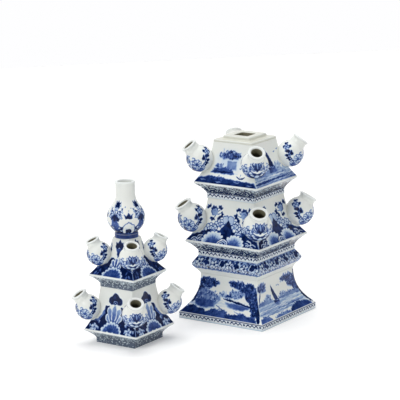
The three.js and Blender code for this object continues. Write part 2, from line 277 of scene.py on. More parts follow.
class Section:
    """The section through a wall, walked from its underside over the outside and down the inside."""

    def __init__(self, half, height):
        self.rows = [(half, height, PLAIN, 1, 0)]

    def walk(self, points, gap, border=PLAIN, bare_in_shade=0, soft=1):
        """Goes on to further points of half width and height, with a row about every gap."""
        for point in points:
            last = np.array(self.rows[-1][:2])
            steps = max(1, round(math.dist(last, point) / gap))
            for t in np.arange(1, steps + 1) / steps:
                self.rows.append((*(last + t * (np.array(point) - last)), border, bare_in_shade, soft))

    def sides(self, points, gap, border=PLAIN, bare_in_shade=0, soft=1):
        """The same, with points of full width and height."""
        self.walk([(side / 2, height) for side, height in points], gap, border, bare_in_shade, soft)

    def finish(self, zero_at=None, melts=3):
        """Softens the glazed edges, and measures the run along the section from the height zero_at."""
        rows = np.array(self.rows, float)
        is_soft = rows[:, 4] > 0
        glazed_edge = is_soft[1:-1] & is_soft[:-2] & is_soft[2:]
        for _ in range(melts):
            blend = (rows[:-2, :2] + 2 * rows[1:-1, :2] + rows[2:, :2]) / 4
            rows[1:-1, :2] = np.where(glazed_edge[:, None], blend, rows[1:-1, :2])
        half, height, kind, bare_in_shade, _ = rows.T
        run = np.concatenate([[0], np.cumsum(np.hypot(np.diff(half), np.diff(height)))])
        if zero_at is not None:
            run -= run[np.flatnonzero((bare_in_shade == 0) & (height >= zero_at - 0.05))[0]]
        across = np.zeros(len(rows))
        for pattern in (ARCHES, NET, FINE_NET):
            band = kind == pattern
            if band.any():
                across[band] = run[band] - (run[band].min() + run[band].max()) / 2
        # the glaze runs thin where the section bends outwards by more than a few degrees, and there the edge
        # is also painted lighter as a highlight
        heading = np.unwrap(np.arctan2(np.diff(height), np.diff(half)))
        bend = np.concatenate([[0], np.diff(heading) * glazed_edge, [0]])
        bend = np.degrees(np.convolve(bend, np.ones(3), "same"))
        self.table = {"half": half, "height": height, "run": run, "bare_in_shade": bare_in_shade}
        self.table["thin_edge_highlight"] = np.clip((bend - THIN_AND_HIGHLIGHT_FROM) / THIN_AND_HIGHLIGHT_OVER, 0, 1)
        self.table["border"] = np.column_stack([np.zeros(len(rows)), across, kind])
        return self


def curve(points, steps):
    """Points of a quadratic or cubic Bezier curve."""
    p = np.array(points, float)
    t = np.linspace(0, 1, steps + 1)[:, None]
    if len(p) == 3:
        return (1 - t) ** 2 * p[0] + 2 * t * (1 - t) * p[1] + t**2 * p[2]
    return (1 - t) ** 3 * p[0] + 3 * t * (1 - t) ** 2 * p[1] + 3 * t**2 * (1 - t) * p[2] + t**3 * p[3]


def shell_tree(name, square):
    """Geometry nodes that grow a shell from a section: four mitred walls, or one turn of the wheel."""
    tree = bpy.data.node_groups.new(name, "GeometryNodeTree")
    inputs = {"Section": "Geometry", "Columns": "Int", "Corner Radius": "Float", "Glaze": "Material"}
    for word, kind in inputs.items():
        tree.interface.new_socket(word, in_out="INPUT", socket_type="NodeSocket" + kind)
    tree.interface.new_socket("Shell", in_out="OUTPUT", socket_type="NodeSocketGeometry")
    given = tree.nodes.new("NodeGroupInput").outputs
    size = add(tree, "GeometryNodeAttributeDomainSize", {"Geometry": given["Section"]})
    rows = size.outputs["Point Count"]
    columns = add(tree, "ShaderNodeMath", {0: given["Columns"], 1: 1.0}, operation="ADD")
    grid = add(tree, "GeometryNodeMeshGrid", {"Vertices X": columns, "Vertices Y": rows})
    index = add(tree, "GeometryNodeInputIndex")
    row = add(tree, "ShaderNodeMath", {0: index, 1: rows}, operation="MODULO")
    column = add(tree, "ShaderNodeMath", {0: index, 1: rows}, operation="DIVIDE")
    column = add(tree, "ShaderNodeMath", {0: column}, operation="FLOOR")
    share = add(tree, "ShaderNodeMath", {0: column, 1: given["Columns"]}, operation="DIVIDE")
    here = {"Geometry": given["Section"], "Value": add(tree, "GeometryNodeInputPosition"), "Index": row}
    point = add(tree, "GeometryNodeSampleIndex", here, data_type="FLOAT_VECTOR")
    point = add(tree, "ShaderNodeSeparateXYZ", {0: point})
    half, height = point.outputs["X"], point.outputs["Z"]
    if square:
        # a point across the flat wall turns through 45 degrees over the last of it, round the corner
        radius = add(tree, "ShaderNodeMath", {0: given["Corner Radius"], 1: half}, operation="MINIMUM")
        radius = add(tree, "ShaderNodeMath", {0: radius, 1: 1e-7}, operation="MAXIMUM")
        straight = add(tree, "ShaderNodeMath", {0: half, 1: radius}, operation="SUBTRACT")
        place = add(tree, "ShaderNodeMath", {0: share, 1: 2.0, 2: -1.0}, operation="MULTIPLY_ADD")
        along = add(tree, "ShaderNodeMath", {0: place, 1: half}, operation="MULTIPLY")
        away = add(tree, "ShaderNodeMath", {0: along}, operation="ABSOLUTE")
        flat = add(tree, "ShaderNodeMath", {0: away, 1: straight}, operation="MINIMUM")
        over = add(tree, "ShaderNodeMath", {0: away, 1: flat}, operation="SUBTRACT")
        over = add(tree, "ShaderNodeMath", {0: over, 1: radius}, operation="DIVIDE")
        angle = add(tree, "ShaderNodeMath", {0: over, 1: math.pi / 4}, operation="MULTIPLY")
    else:
        angle = add(tree, "ShaderNodeMath", {0: share, 1: 2 * math.pi}, operation="MULTIPLY")
        along = angle
    sine = add(tree, "ShaderNodeMath", {0: angle}, operation="SINE")
    cosine = add(tree, "ShaderNodeMath", {0: angle}, operation="COSINE")
    if square:
        side = add(tree, "ShaderNodeMath", {0: sine, 1: radius, 2: flat}, operation="MULTIPLY_ADD")
        out = add(tree, "ShaderNodeMath", {0: cosine, 1: radius, 2: straight}, operation="MULTIPLY_ADD")
        sign = add(tree, "ShaderNodeMath", {0: along}, operation="SIGN")
        side = add(tree, "ShaderNodeMath", {0: side, 1: sign}, operation="MULTIPLY")
    else:
        out = add(tree, "ShaderNodeMath", {0: cosine, 1: half}, operation="MULTIPLY")
        side = add(tree, "ShaderNodeMath", {0: sine, 1: half}, operation="MULTIPLY")
    position = add(tree, "ShaderNodeCombineXYZ", {0: out, 1: side, 2: height})
    shell = add(tree, "GeometryNodeSetPosition", {"Geometry": grid, "Position": position})
    carried = (("run", "FLOAT"), ("bare_in_shade", "FLOAT"), ("thin_edge_highlight", "FLOAT"), ("border", "FLOAT_VECTOR"))
    for word, kind in carried:
        stored = add(tree, "GeometryNodeInputNamedAttribute", {"Name": word}, data_type=kind)
        here = {"Geometry": given["Section"], "Value": stored, "Index": row}
        value = add(tree, "GeometryNodeSampleIndex", here, data_type=kind)
        if word == "border":
            value = add(tree, "ShaderNodeSeparateXYZ", {0: value}).outputs
            along = add(tree, "ShaderNodeMath", {0: along, 1: 1 / MM}, operation="MULTIPLY")
            value = add(tree, "ShaderNodeCombineXYZ", {0: along, 1: value["Y"], 2: value["Z"]})
        keep = {"Geometry": shell, "Name": word, "Value": value}
        shell = add(tree, "GeometryNodeStoreNamedAttribute", keep, data_type=kind, domain="POINT")
    # kept by face corner from here, so that the four walls meet at their corners each with its own map
    stored = add(tree, "GeometryNodeInputNamedAttribute", {"Name": "border"}, data_type="FLOAT_VECTOR")
    keep = {"Geometry": shell, "Name": "border", "Value": stored}
    shell = add(tree, "GeometryNodeStoreNamedAttribute", keep, data_type="FLOAT_VECTOR", domain="CORNER")
    if square:
        quarters = add(tree, "GeometryNodePoints", {"Count": 4})
        quarter = add(tree, "GeometryNodeInputIndex")
        turn = {0: quarter, 1: math.pi / 2, 2: math.pi / 4}
        turn = add(tree, "ShaderNodeMath", turn, operation="MULTIPLY_ADD")
        turn = add(tree, "ShaderNodeCombineXYZ", {2: turn})
        walls = {"Points": quarters, "Instance": shell, "Rotation": turn}
        shell = add(tree, "GeometryNodeInstanceOnPoints", walls)
    shell = add(tree, "GeometryNodeRealizeInstances", {"Geometry": shell})
    shell = add(tree, "GeometryNodeMergeByDistance", {"Geometry": shell, "Distance": 2e-6})
    shell = add(tree, "GeometryNodeSetShadeSmooth", {"Geometry": shell})
    shell = add(tree, "GeometryNodeSetMaterial", {"Geometry": shell, "Material": given["Glaze"]})
    add(tree, "NodeGroupOutput", {0: shell})
    return tree


def grow(name, section, tree, columns, glaze, place):
    """Grows a section into a shell and sets it in its place as a plain mesh."""
    table = section.table
    seed = bpy.data.meshes.new(name + "_section")
    seed.from_pydata([(half * MM, 0, z * MM) for half, z in zip(table["half"], table["height"])], [], [])
    for word in ("run", "bare_in_shade", "thin_edge_highlight"):
        layer = seed.attributes.new(word, "FLOAT", "POINT")
        layer.data.foreach_set("value", table[word].astype(np.float32))
    layer = seed.attributes.new("border", "FLOAT_VECTOR", "POINT")
    layer.data.foreach_set("vector", table["border"].astype(np.float32).ravel())
    holder = bpy.data.objects.new(name + "_holder", seed)
    bpy.context.scene.collection.objects.link(holder)
    modifier = holder.modifiers.new("shell", "NODES")
    modifier.node_group = tree
    inputs = {item.name: item.identifier for item in tree.interface.items_tree if item.in_out == "INPUT"}
    modifier[inputs["Columns"]] = columns
    modifier[inputs["Corner Radius"]] = CORNER_RADIUS * MM
    modifier[inputs["Glaze"]] = glaze
    graph = bpy.context.evaluated_depsgraph_get()
    grown = holder.evaluated_get(graph)
    mesh = bpy.data.meshes.new_from_object(grown, preserve_all_data_layers=True, depsgraph=graph)
    bpy.data.objects.remove(holder)
    mesh.name = name
    mesh.transform(place)
    mesh.materials.clear()
    for finish in (glaze, shaded_clay):
        mesh.materials.append(finish)
    # faces with every row inside take the second material, the clay that is dark as painted shade
    corners = np.zeros(len(mesh.loops), np.int32)
    mesh.loops.foreach_get("vertex_index", corners)
    starts = np.zeros(len(mesh.polygons), np.int32)
    mesh.polygons.foreach_get("loop_start", starts)
    clay_faces_in_shade = np.minimum.reduceat(read(mesh, "bare_in_shade")[corners], starts) > 0.5
    mesh.polygons.foreach_set("material_index", clay_faces_in_shade.astype(np.int32))
    piece = bpy.data.objects.new(name, mesh)
    bpy.context.scene.collection.objects.link(piece)
    return piece


def read(mesh, name):
    """A float attribute of the points, or their positions."""
    if name == "position":
        values = np.zeros(len(mesh.vertices) * 3, np.float32)
        mesh.vertices.foreach_get("co", values)
        return values.reshape(-1, 3).astype(float)
    values = np.zeros(len(mesh.vertices), np.float32)
    mesh.attributes[name].data.foreach_get("value", values)
    return values.astype(float)


def stain(piece, cobalt):
    """Gives each point of a piece its strength of cobalt."""
    layer = piece.data.attributes.new("cobalt", "FLOAT", "POINT")
    layer.data.foreach_set("value", np.clip(cobalt, 0, 1).astype(np.float32))


# Sections of the pieces, with the rows of a painted wall this far apart
PAINTED = 0.6


def tier_section(t, recess=None, closed_top=False):
    """A tier from under its floor, over band, cove, rim and sweep, to the inside of its walls."""
    (band, band_height), (shelf, shelf_height), (top, height) = t["band"], t["shelf"], t["top"]
    out, up = COVE_ELBOW
    elbow = (band + out * (shelf - band), band_height + up * (shelf_height - RIM - band_height))
    cove = curve([(band, band_height), elbow, (shelf, shelf_height - RIM)], 24)
    sweep = curve([t["shelf"], t["elbow"], t["top"]], 88)
    inner = [(side - 2 * WALL, z) for side, z in sweep[::9] if z > shelf_height + WALL and z < height]
    floor_top = FLOOR
    section = Section(0, 0)
    if recess:
        side, depth = recess
        floor_top += depth
        section = Section(0, depth)
        section.sides([(side, depth), (side, 0)], 3, **UNGLAZED_IN_SHADE)
    section.sides([(band, 0)], 6, **UNGLAZED_IN_SHADE)
    upper = recess or closed_top
    section.sides([(band, band_height)], PAINTED, FINE_NET if upper else ARCHES)
    section.sides(cove[1:], PAINTED, FINE_NET if upper else NET)
    section.sides([(shelf, shelf_height - RIM / 2)], 0.4)
    section.sides([(shelf, shelf_height)] + list(sweep[1:-1]), PAINTED)
    section.sides(sweep[-1:], PAINTED, soft=0)
    if closed_top:
        mouth = GOURD["drain"] * 2
        section.sides([(mouth, height)], 1.5, soft=0)
        section.sides([(mouth, height - LID), (top - 2 * WALL, height - LID)], 2, **UNGLAZED_IN_SHADE)
    else:
        section.sides([(top - 2 * WALL, height)], 1, soft=0)
    section.sides(inner[::-1], 9, **UNGLAZED_IN_SHADE)
    within = [(shelf - 2 * SHELF_FILL, shelf_height), (band - 2 * WALL, floor_top), (0, floor_top)]
    section.sides(within, 9, **UNGLAZED_IN_SHADE)
    return section.finish(zero_at=shelf_height)


def pedestal_section():
    """The foot, its concave flare, and the hollow inside."""
    p = PEDESTAL
    low = (p["foot_side"] - p["end_inset"], p["foot_height"] + p["end_rise"])
    high = (p["top_side"], p["height"] - p["start_drop"])
    flare = curve([(p["foot_side"], p["foot_height"]), low, high, (p["top_side"], p["height"])], 86)
    inner = [(side - 2 * WALL, z) for side, z in flare[::14]]
    section = Section(p["foot_side"] / 2 - WALL, 0)
    section.sides([(p["foot_side"], 0)], 1.4, **UNGLAZED_IN_SHADE)
    section.sides([(p["foot_side"], p["foot_height"])], PAINTED, ARCHES)
    section.sides(flare[1:], PAINTED)
    section.sides(inner[::-1] + [(p["foot_side"] - 2 * WALL, 0)], 7, **UNGLAZED_IN_SHADE)
    return section.finish(zero_at=p["foot_height"])


def moulding_section():
    """The cushion moulding: undercut, nose and slope back to the first tier's band."""
    m, foot, top = MOULDING, PEDESTAL["top_side"], TIERS["tier_1"]["band"][0]
    nose, level, r = m["nose_side"], m["nose_height"], m["nose_round"]
    section = Section(foot / 2 - WALL, 0)
    section.sides([(foot, 0)], 1.4, **UNGLAZED_IN_SHADE)
    section.sides([(m["undercut_side"], m["undercut_height"]), (nose - 1.4 * r, level - r)], PAINTED)
    section.sides([(nose, level), (nose - r, level + r), (top, m["height"])], PAINTED)
    within = [(top - 2 * WALL, m["height"]), (nose - 4 * WALL, level), (foot - 2 * WALL, 0)]
    section.sides(within, 4, **UNGLAZED_IN_SHADE)
    return section.finish(zero_at=0, melts=14)


def collar_section():
    """The lid over the second tier, with its square collar and hole."""
    hole, side, top = COLLAR["hole_side"], COLLAR["side"], LID + COLLAR["height"]
    plate = TIERS["tier_2"]["top"][0]
    section = Section(hole / 2, 0)
    section.sides([(plate, 0)], 3, **UNGLAZED_IN_SHADE)
    section.sides([(plate, LID), (side, LID), (side, top), (hole, top)], 0.5)
    # the top of the hole's walls takes the dark clay, as painted shade down the hole
    section.sides([(hole, top - 2 * SOFTENING)], 0.5, bare_in_shade=1)
    section.sides([(hole, 0)], 2, **UNGLAZED_IN_SHADE)
    return section.finish(zero_at=0, melts=12)


def spout_section(spout):
    """A bulb, its short neck, the rolled lip and the hollow inside, about the spout's own axis."""
    bulb, neck, lip, bore, end = (spout[key] for key in ("bulb", "neck", "lip", "bore", "length"))
    hollow = bulb - SPOUT_WALL
    outer = np.linspace(-math.pi / 2, math.acos((neck + SOFTENING) / bulb), 60)[1:]
    inner = np.linspace(math.acos(bore / hollow), -math.pi / 2, 12)
    section = Section(0, -bulb)
    section.walk([(bulb * math.cos(a), bulb * math.sin(a)) for a in outer], 0.72)
    rolled_lip = [
        (neck, end - LIP - SOFTENING), (lip, end - LIP / 2), (lip - SOFTENING, end - SOFTENING / 2),
        (bore + 2 * SOFTENING, end), (bore, end - 2 * SOFTENING),
    ]
    section.walk(rolled_lip, 0.45)
    # the inside of the mouth takes the dark clay, as painted shade
    section.walk([(bore, end - LIP)], 0.45, bare_in_shade=1)
    section.walk([(hollow * math.cos(a), hollow * math.sin(a)) for a in inner], 3, **UNGLAZED_IN_SHADE)
    return section.finish()


def gourd_section():
    """The gourd neck: ring, groove, belly, shoulder, lip and the way down inside."""
    g = GOURD
    ring, groove, side, neck, lip = g["ring"], g["groove"], g["belly"], g["neck"], g["lip"]
    ring_top, widest, start, top = g["ring_height"], g["belly_height"], g["neck_start"], g["height"]
    belly = [(groove, ring_top), (side, ring_top + g["undercut"]), (side, widest)]
    shoulder = [(side, widest), (side, widest + g["shoulder"]), (neck, start - g["shoulder"]), (neck, start)]
    section = Section(g["drain"], 0)
    section.walk([(ring, 0)], 2, **UNGLAZED_IN_SHADE)
    section.walk([(ring, ring_top - SOFTENING), (groove, ring_top)], 0.5)
    section.walk(curve(belly, 24)[1:], 0.55)
    section.walk(curve(shoulder, 40)[1:], 0.55)
    section.walk([(neck, top - g["lip_height"]), (lip, top - g["lip_height"] / 2)], 0.5)
    section.walk([(lip - SOFTENING, top), (g["mouth"], top)], 0.5)
    section.walk([(neck - SPOUT_WALL, start)], 2)
    inside_walk = [*curve(shoulder, 10)[::-1], *curve(belly[::-1], 6)[1:]]
    section.walk([(half - SPOUT_WALL, z) for half, z in inside_walk], 4, **UNGLAZED_IN_SHADE)
    section.walk([(g["drain"], ring_top), (g["drain"], 0)], 4, **UNGLAZED_IN_SHADE)
    return section.finish(zero_at=ring_top)


# Painter's tools: panels in millimetres, x to the right and y up as seen from outside
SAMPLE = 0.25
# a stroke has a point about this often, and its edge bleeds into the glaze over this width
STROKE_STEP = 0.6
BLEED = 0.45


def flowing(points):
    """A smooth line through the points."""
    p = np.array(points, float)
    if len(p) < 3:
        return p
    before = np.vstack([2 * p[0] - p[1], p[:-2]])
    after = np.vstack([p[2:], 2 * p[-1] - p[-2]])
    line = [p[:1]]
    for start, end, lead, trail in zip(p[:-1], p[1:], before, after):
        steps = max(2, int(math.dist(start, end) / STROKE_STEP))
        t = np.linspace(0, 1, steps + 1)[1:, None]
        pull_in, pull_out = (end - lead) / 2, (trail - start) / 2
        line.append(
            (2 * t**3 - 3 * t**2 + 1) * start
            + (t**3 - 2 * t**2 + t) * pull_in
            + (3 * t**2 - 2 * t**3) * end
            + (t**3 - t**2) * pull_out
        )
    return np.vstack(line)


def nearest(x, y, line, half_widths=None):
    """How far each sample is from a line, less the half width that the line has there."""
    best = np.full(x.shape, 1e9)
    half = np.zeros(len(line)) if half_widths is None else half_widths
    for k in range(len(line) - 1):
        (ax, ay), (bx, by) = line[k], line[k + 1]
        dx, dy = bx - ax, by - ay
        t = np.clip(((x - ax) * dx + (y - ay) * dy) / max(dx * dx + dy * dy, 1e-9), 0, 1)
        gap = np.hypot(x - ax - t * dx, y - ay - t * dy) - half[k] - t * (half[k + 1] - half[k])
        np.minimum(best, gap, out=best)
    return best


def inside(x, y, outline):
    """True for the samples inside a closed outline."""
    hit = np.zeros(x.shape, bool)
    for (ax, ay), (bx, by) in zip(outline, np.roll(outline, -1, axis=0)):
        if ay != by:
            hit ^= ((ay > y) != (by > y)) & (x < ax + (y - ay) * (bx - ax) / (by - ay))
    return hit


class Panel:
    """A panel of white glaze in millimetres, x to the right and y up, painted stroke by stroke."""

    def __init__(self, left, right, bottom, top):
        self.left, self.bottom = left, bottom
        self.cobalt = np.zeros((int((top - bottom) / SAMPLE) + 2, int((right - left) / SAMPLE) + 2))

    def lay(self, points, margin, cover_of, cobalt_of):
        """Cobalt over the part of the panel near some points; cover 0 leaves what is there, 1 hides it."""
        rows, columns = self.cobalt.shape
        low = (points.min(0) - margin - (self.left, self.bottom)) / SAMPLE
        high = (points.max(0) + margin - (self.left, self.bottom)) / SAMPLE
        c0, r0 = max(0, int(low[0])), max(0, int(low[1]))
        c1, r1 = min(columns, int(high[0]) + 2), min(rows, int(high[1]) + 2)
        if c0 >= c1 or r0 >= r1:
            return
        across, up = self.left + SAMPLE * np.arange(c0, c1), self.bottom + SAMPLE * np.arange(r0, r1)
        x, y = np.meshgrid(across, up)
        part = self.cobalt[r0:r1, c0:c1]
        part += cover_of(x, y) * (cobalt_of(x, y) - part)

    def at(self, x, y):
        """The cobalt at points of the panel, read between its samples."""
        rows, columns = self.cobalt.shape
        c = np.clip((x - self.left) / SAMPLE, 0, columns - 1.001)
        r = np.clip((y - self.bottom) / SAMPLE, 0, rows - 1.001)
        c0, r0 = c.astype(int), r.astype(int)
        fc, fr = c - c0, r - r0
        low = self.cobalt[r0, c0] * (1 - fc) + self.cobalt[r0, c0 + 1] * fc
        high = self.cobalt[r0 + 1, c0] * (1 - fc) + self.cobalt[r0 + 1, c0 + 1] * fc
        return low * (1 - fr) + high * fr


class Brush:
    """A brush over a panel at a place, turn and size, so that a motif is written once and set anywhere."""

    def __init__(self, panel, x=0, y=0, turn=0, size=1, flip=1):
        self.panel, self.size = panel, size
        c, s = math.cos(math.radians(turn)), math.sin(math.radians(turn))
        self.frame = size * np.array([[c * flip, s * flip], [-s, c]])
        self.place = np.array([x, y], float)

    def at(self, x, y, turn=0, size=1, flip=1):
        """The same brush moved within its own motif."""
        moved = Brush(self.panel, 0, 0, turn, size, flip)
        moved.place = self.place + np.array([x, y]) @ self.frame
        moved.frame = moved.frame @ self.frame
        moved.size = self.size * size
        return moved

    def line(self, points, width, cobalt, ends=0.3, strength=1.0):
        """One pull of the brush along a smooth line, thinner at its two ends."""
        path = flowing(np.array(points, float) @ self.frame + self.place)
        t = np.linspace(0, 1, len(path))
        half = width * self.size / 2 * (ends + (1 - ends) * np.sin(math.pi * t) ** 0.6)

        def cover(x, y):
            return strength * np.clip(0.5 - nearest(x, y, path, half) / BLEED, 0, 1)

        self.panel.lay(path, width * self.size + BLEED, cover, lambda x, y: cobalt)

    def fill(self, outline, cobalt, far=None, bleed=BLEED):
        """A shape filled with cobalt, which can change towards the point furthest from its first one."""
        shape = np.array(outline, float) @ self.frame + self.place
        closed = np.vstack([shape, shape[:1]])
        root = shape[0]
        reach = shape[np.argmax(np.hypot(*(shape - root).T))] - root

        def cover(x, y):
            edge = nearest(x, y, closed)
            return np.clip(0.5 + np.where(inside(x, y, shape), edge, -edge) / bleed, 0, 1)

        def tone(x, y):
            if far is None:
                return cobalt
            t = np.clip(((x - root[0]) * reach[0] + (y - root[1]) * reach[1]) / (reach @ reach), 0, 1)
            return cobalt + (far - cobalt) * t

        self.panel.lay(shape, bleed, cover, tone)

    def dot(self, x, y, radius, cobalt, far=None):
        """A round touch of the brush."""
        a = np.linspace(0, 2 * math.pi, 15)[:-1]
        self.fill(np.column_stack([x + radius * np.cos(a), y + radius * np.sin(a)]), cobalt, far)

    def leaf(self, length, width, cobalt, far=None, belly=0.8):
        """A pointed leaf from the brush's place upwards, widest below its middle when belly is under 1."""
        t = np.linspace(0, 1, 10)
        half = width / 2 * np.sin(math.pi * t**belly)
        left = np.column_stack([-half, length * t])
        right = np.column_stack([half, length * t])[::-1]
        self.fill(np.vstack([left, right[1:-1]]), cobalt, far)

    def petal(self, length, width, cobalt, far=None, edge=None, edge_width=0.55):
        """A round-ended petal, with a painted outline when edge is given."""
        t = np.linspace(0, math.pi, 11)
        half = width / 2 * np.sin(t) ** 0.8 * (0.62 + 0.38 * (1 - np.cos(t)) / 2)
        up = length * (1 - np.cos(t)) / 2
        outline = np.vstack([np.column_stack([-half, up]), np.column_stack([half, up])[-2:0:-1]])
        self.fill(outline, cobalt, far)
        if edge is not None:
            self.line(np.vstack([outline, outline[:1]]), edge_width, edge, ends=0.8)

    def leaves(self, places, *leaf):
        """The same leaf at several places and turns."""
        for x, y, turn in places:
            self.at(x, y, turn).leaf(*leaf)

    def petals(self, places, *petal):
        """The same petal at several places and turns."""
        for x, y, turn in places:
            self.at(x, y, turn).petal(*petal)

    def rosette(self, count, first, *petal):
        """Petals set evenly round the brush's place, the first one at a turn."""
        self.petals([(0, 0, first + 360 * k / count) for k in range(count)], *petal)

    def scallops(self, radius, start, end, lobes, depth):
        """Points of a fan's scalloped edge from one angle to another, in degrees from straight up."""
        t = np.linspace(0, 1, lobes * 6 + 1)
        a = np.radians(start + (end - start) * t)
        r = radius * (1 - depth + depth * np.abs(np.sin(math.pi * lobes * t)) ** 0.7)
        return np.column_stack([r * np.sin(a), r * np.cos(a)])

    def ring(self, radius, width, cobalt, start, end):
        """The part of a ring between two angles, in degrees from straight up."""
        a = np.radians(np.linspace(start, end, 13))
        self.line(np.column_stack([radius * np.sin(a), radius * np.cos(a)]), width, cobalt, ends=0.6)


# Motifs
def mirrored(left):
    """An outline from its left half: the points, then the same on the right in the other order."""
    return left + [(-x, y) for x, y in left[::-1] if x]


def leaf_cluster(brush):
    """Three short, broad, dark leaves that meet at their stalk."""
    length = 4.5
    brush.leaves([(0, 0, turn) for turn in (-58, 0, 58)], length, length * 0.68, NAVY, NAVY - 0.14)


def rose_sprig(brush):
    """A pale round flower under a dark cap, with leaf clusters on thin stalks towards the middle."""
    brush.line([(0, -2), (-4.4, -1.2), (-7.6, 3)], 0.7, DARK)
    brush.line([(-1, -3), (-5, -3.4), (-9, -2)], 0.7, DARK)
    brush.line([(-0.5, -3), (-1.4, -6), (1.2, -8.4)], 0.7, DARK)
    brush.leaves([(0.4, 0.6, turn) for turn in (-64, -22, 20, 62)], 6.2, 4.6, NAVY, BLUE)
    brush.dot(0.3, -0.4, 5.1, DARK)
    brush.dot(-0.3, -1.1, 4.2, MID - 0.06, WASH)
    brush.line([(-2.8, -2.2), (-0.6, 0.4), (2.6, -0.6)], 0.5, BLUE)
    for x, y, turn in ((-7.4, 3.2, 20), (-9.4, -3.4, 80), (-6.2, -7, 130), (1.6, -8, 190), (7.2, 3.6, -40)):
        leaf_cluster(brush.at(x, y, turn))


def peony(brush, radius):
    """A pale flower of many round petals, each edged with a thin brush."""
    for reach, count, spread in ((0.72, 7, 33), (0.36, 4, 44)):
        for k in range(count):
            petal = brush.at(0, 0, (k - (count - 1) / 2) * spread)
            petal.dot(0, radius * reach, radius * 0.27, DARK)
            petal.dot(0, radius * reach - 0.1, radius * 0.27 - 0.7, PALE, BARE)
            petal.line([(0, radius * reach - 1.6), (0, radius * reach + 0.6)], 0.6, WASH + 0.14, ends=0.1)
    brush.dot(0, 0.6, radius * 0.2, MID)


def shelf_fan(brush, radius, lean=0, body=MID, rim=0.4):
    """The large fan flower that grows from a shelf: pale scalloped rim, feathered blue petals."""
    layers = (
        (1.05, 0.13, NAVY), (1, 0.13, BARE), (1 - rim * 0.35, 0.1, PALE), (1 - rim * 0.7, 0.1, WASH),
        (1 - rim, 0.1, body),
    )
    for reach, depth, tone in layers:
        edge = brush.scallops(radius * reach, -95 + lean, 95 + lean, 10, depth)
        brush.fill(np.vstack([[(0, -1)], edge]), tone, bleed=0.9)
    heart = brush.scallops(radius * 0.55, -95, 95, 5, 0.2)
    brush.fill(np.vstack([[(0, -1)], heart]), DARK, body, bleed=2.4)
    for k in range(20):
        turn = math.radians(-86 + lean + 9.05 * k)
        root, tip, width, tone = (0.3, 0.74, 0.9, DARK) if k % 2 else (0.42, 0.86, 0.5, WASH)
        ray = np.outer((root * radius, tip * radius), (math.sin(turn), math.cos(turn)))
        brush.line(ray, width, tone, ends=0.1, strength=0.8)


def ring_flower(brush, radius):
    """A small round flower with a thick white ring and a dark eye."""
    brush.dot(0, 0, radius, NAVY)
    brush.dot(0, 0, radius * 0.9, BARE)
    brush.dot(0, -0.04 * radius, radius * 0.74, NAVY)
    brush.ring(radius * 0.52, radius * 0.14, PALE, -100, 100)
    brush.ring(radius * 0.24, radius * 0.14, WASH, -100, 100)


def corner_scrolls(brush):
    """White arcs scratched through the dark ground beside a corner."""
    for radius in (3.2, 6.2):
        brush.ring(radius, 1.1, BARE, -65, 65)
    brush.dot(0, 0.4, 1.2, PALE)


def palm_leaf(brush, length, lobes, spread, body=MID):
    """A blue leaf of white-edged lobes that open like a shell."""
    middle = (lobes - 1) / 2
    for k in sorted(range(lobes), key=lambda k: -abs(k - middle)):
        share = (k - middle) / middle
        reach = length * (1 - 0.36 * share * share)
        lobe = brush.at(0, 0, share * spread)
        lobe.petal(reach, length * 0.34, body + 0.14, body - 0.16, BARE, 1.1)
        lobe.line([(0, reach * 0.2), (0, reach * 0.8)], 1.0, body + 0.22, ends=0.1)


def trefoil(brush):
    """The dark three-lobed bud above a palm leaf."""
    for x, y, r in ((0, 8.4, 4.4), (-5, 3.6, 4.5), (5, 3.6, 4.5), (0, 4.4, 5), (-3, 6.8, 3), (3, 6.8, 3)):
        brush.dot(x, y, r, NAVY)
    brush.ring(3.2, 0.9, WASH, -75, 75)
    brush.ring(1.2, 0.8, WASH, -75, 75)


def tulip_bud(brush, height, width):
    """A dark bud of three points over a blue cup that tapers down to its stalk."""
    w, h = width / 2, height
    cup = mirrored([(-w * 0.16, h * 0.1), (-w * 0.8, h * 0.52)])
    brush.fill([(0, 0)] + cup, DARK, BLUE)
    crown = [(-w * 0.7, h * 0.46), (-w, h * 0.66), (-w * 0.86, h * 0.86), (-w * 0.42, h * 0.8), (0, h)]
    brush.fill(mirrored(crown) + [(0, h * 0.56)], NAVY)


def small_blossom(brush, radius, cobalt):
    """Five pale petals with a dark eye."""
    brush.rosette(5, 0, radius, radius * 0.8, cobalt, BARE, MID, 0.5)
    brush.dot(0, 0, radius * 0.22, DARK)


def tier_1_wall(panel):
    """Peonies and a dark leaf over two fan flowers, with a rose sprig at each side above."""
    wall = Brush(panel)
    ground = mirrored([(-54, -2), (-45, 9), (-36, 12), (-27, 18), (-10, 17)])
    wall.fill(ground, NAVY, DARK, bleed=1.2)
    for side in (-1, 1):
        half = Brush(panel, flip=side)
        peony(half.at(21.6, 15.4, 24), 10.5)
        peony(half.at(10, 21.6, 10), 9.6)
        corner_scrolls(half.at(40, -1, 10))
        corner_scrolls(half.at(32, 3, -24))
        rose_sprig(half.at(20.6, 39.4))
        half.at(27, 12, 44).leaf(9, 4, NAVY, DARK)
        half.at(31, 8, 66).leaf(8, 3.6, NAVY, DARK)
    for x in (-3.4, 3.4):
        wall.dot(x, 31.2, 4.8, BLUE)
        wall.dot(x, 30.8, 4.2, WASH, PALE)
    dark_leaf = [(0.4, 30.5), (-3.4, 25), (-8, 19.4), (-12.6, 14), (12.6, 14), (8.4, 19.4), (4, 25)]
    wall.fill(dark_leaf, NAVY, DARK, bleed=0.9)
    for x in (-4.6, 0, 4.6):
        wall.line([(x * 0.3, 26), (x, 16)], 0.6, BLUE, ends=0.1)
    shelf_fan(wall.at(-14.8, -1), 17.4, -4)
    shelf_fan(wall.at(14.2, -1), 15.6, 5)
    ring_flower(wall.at(-0.6, -0.4), 8.8)


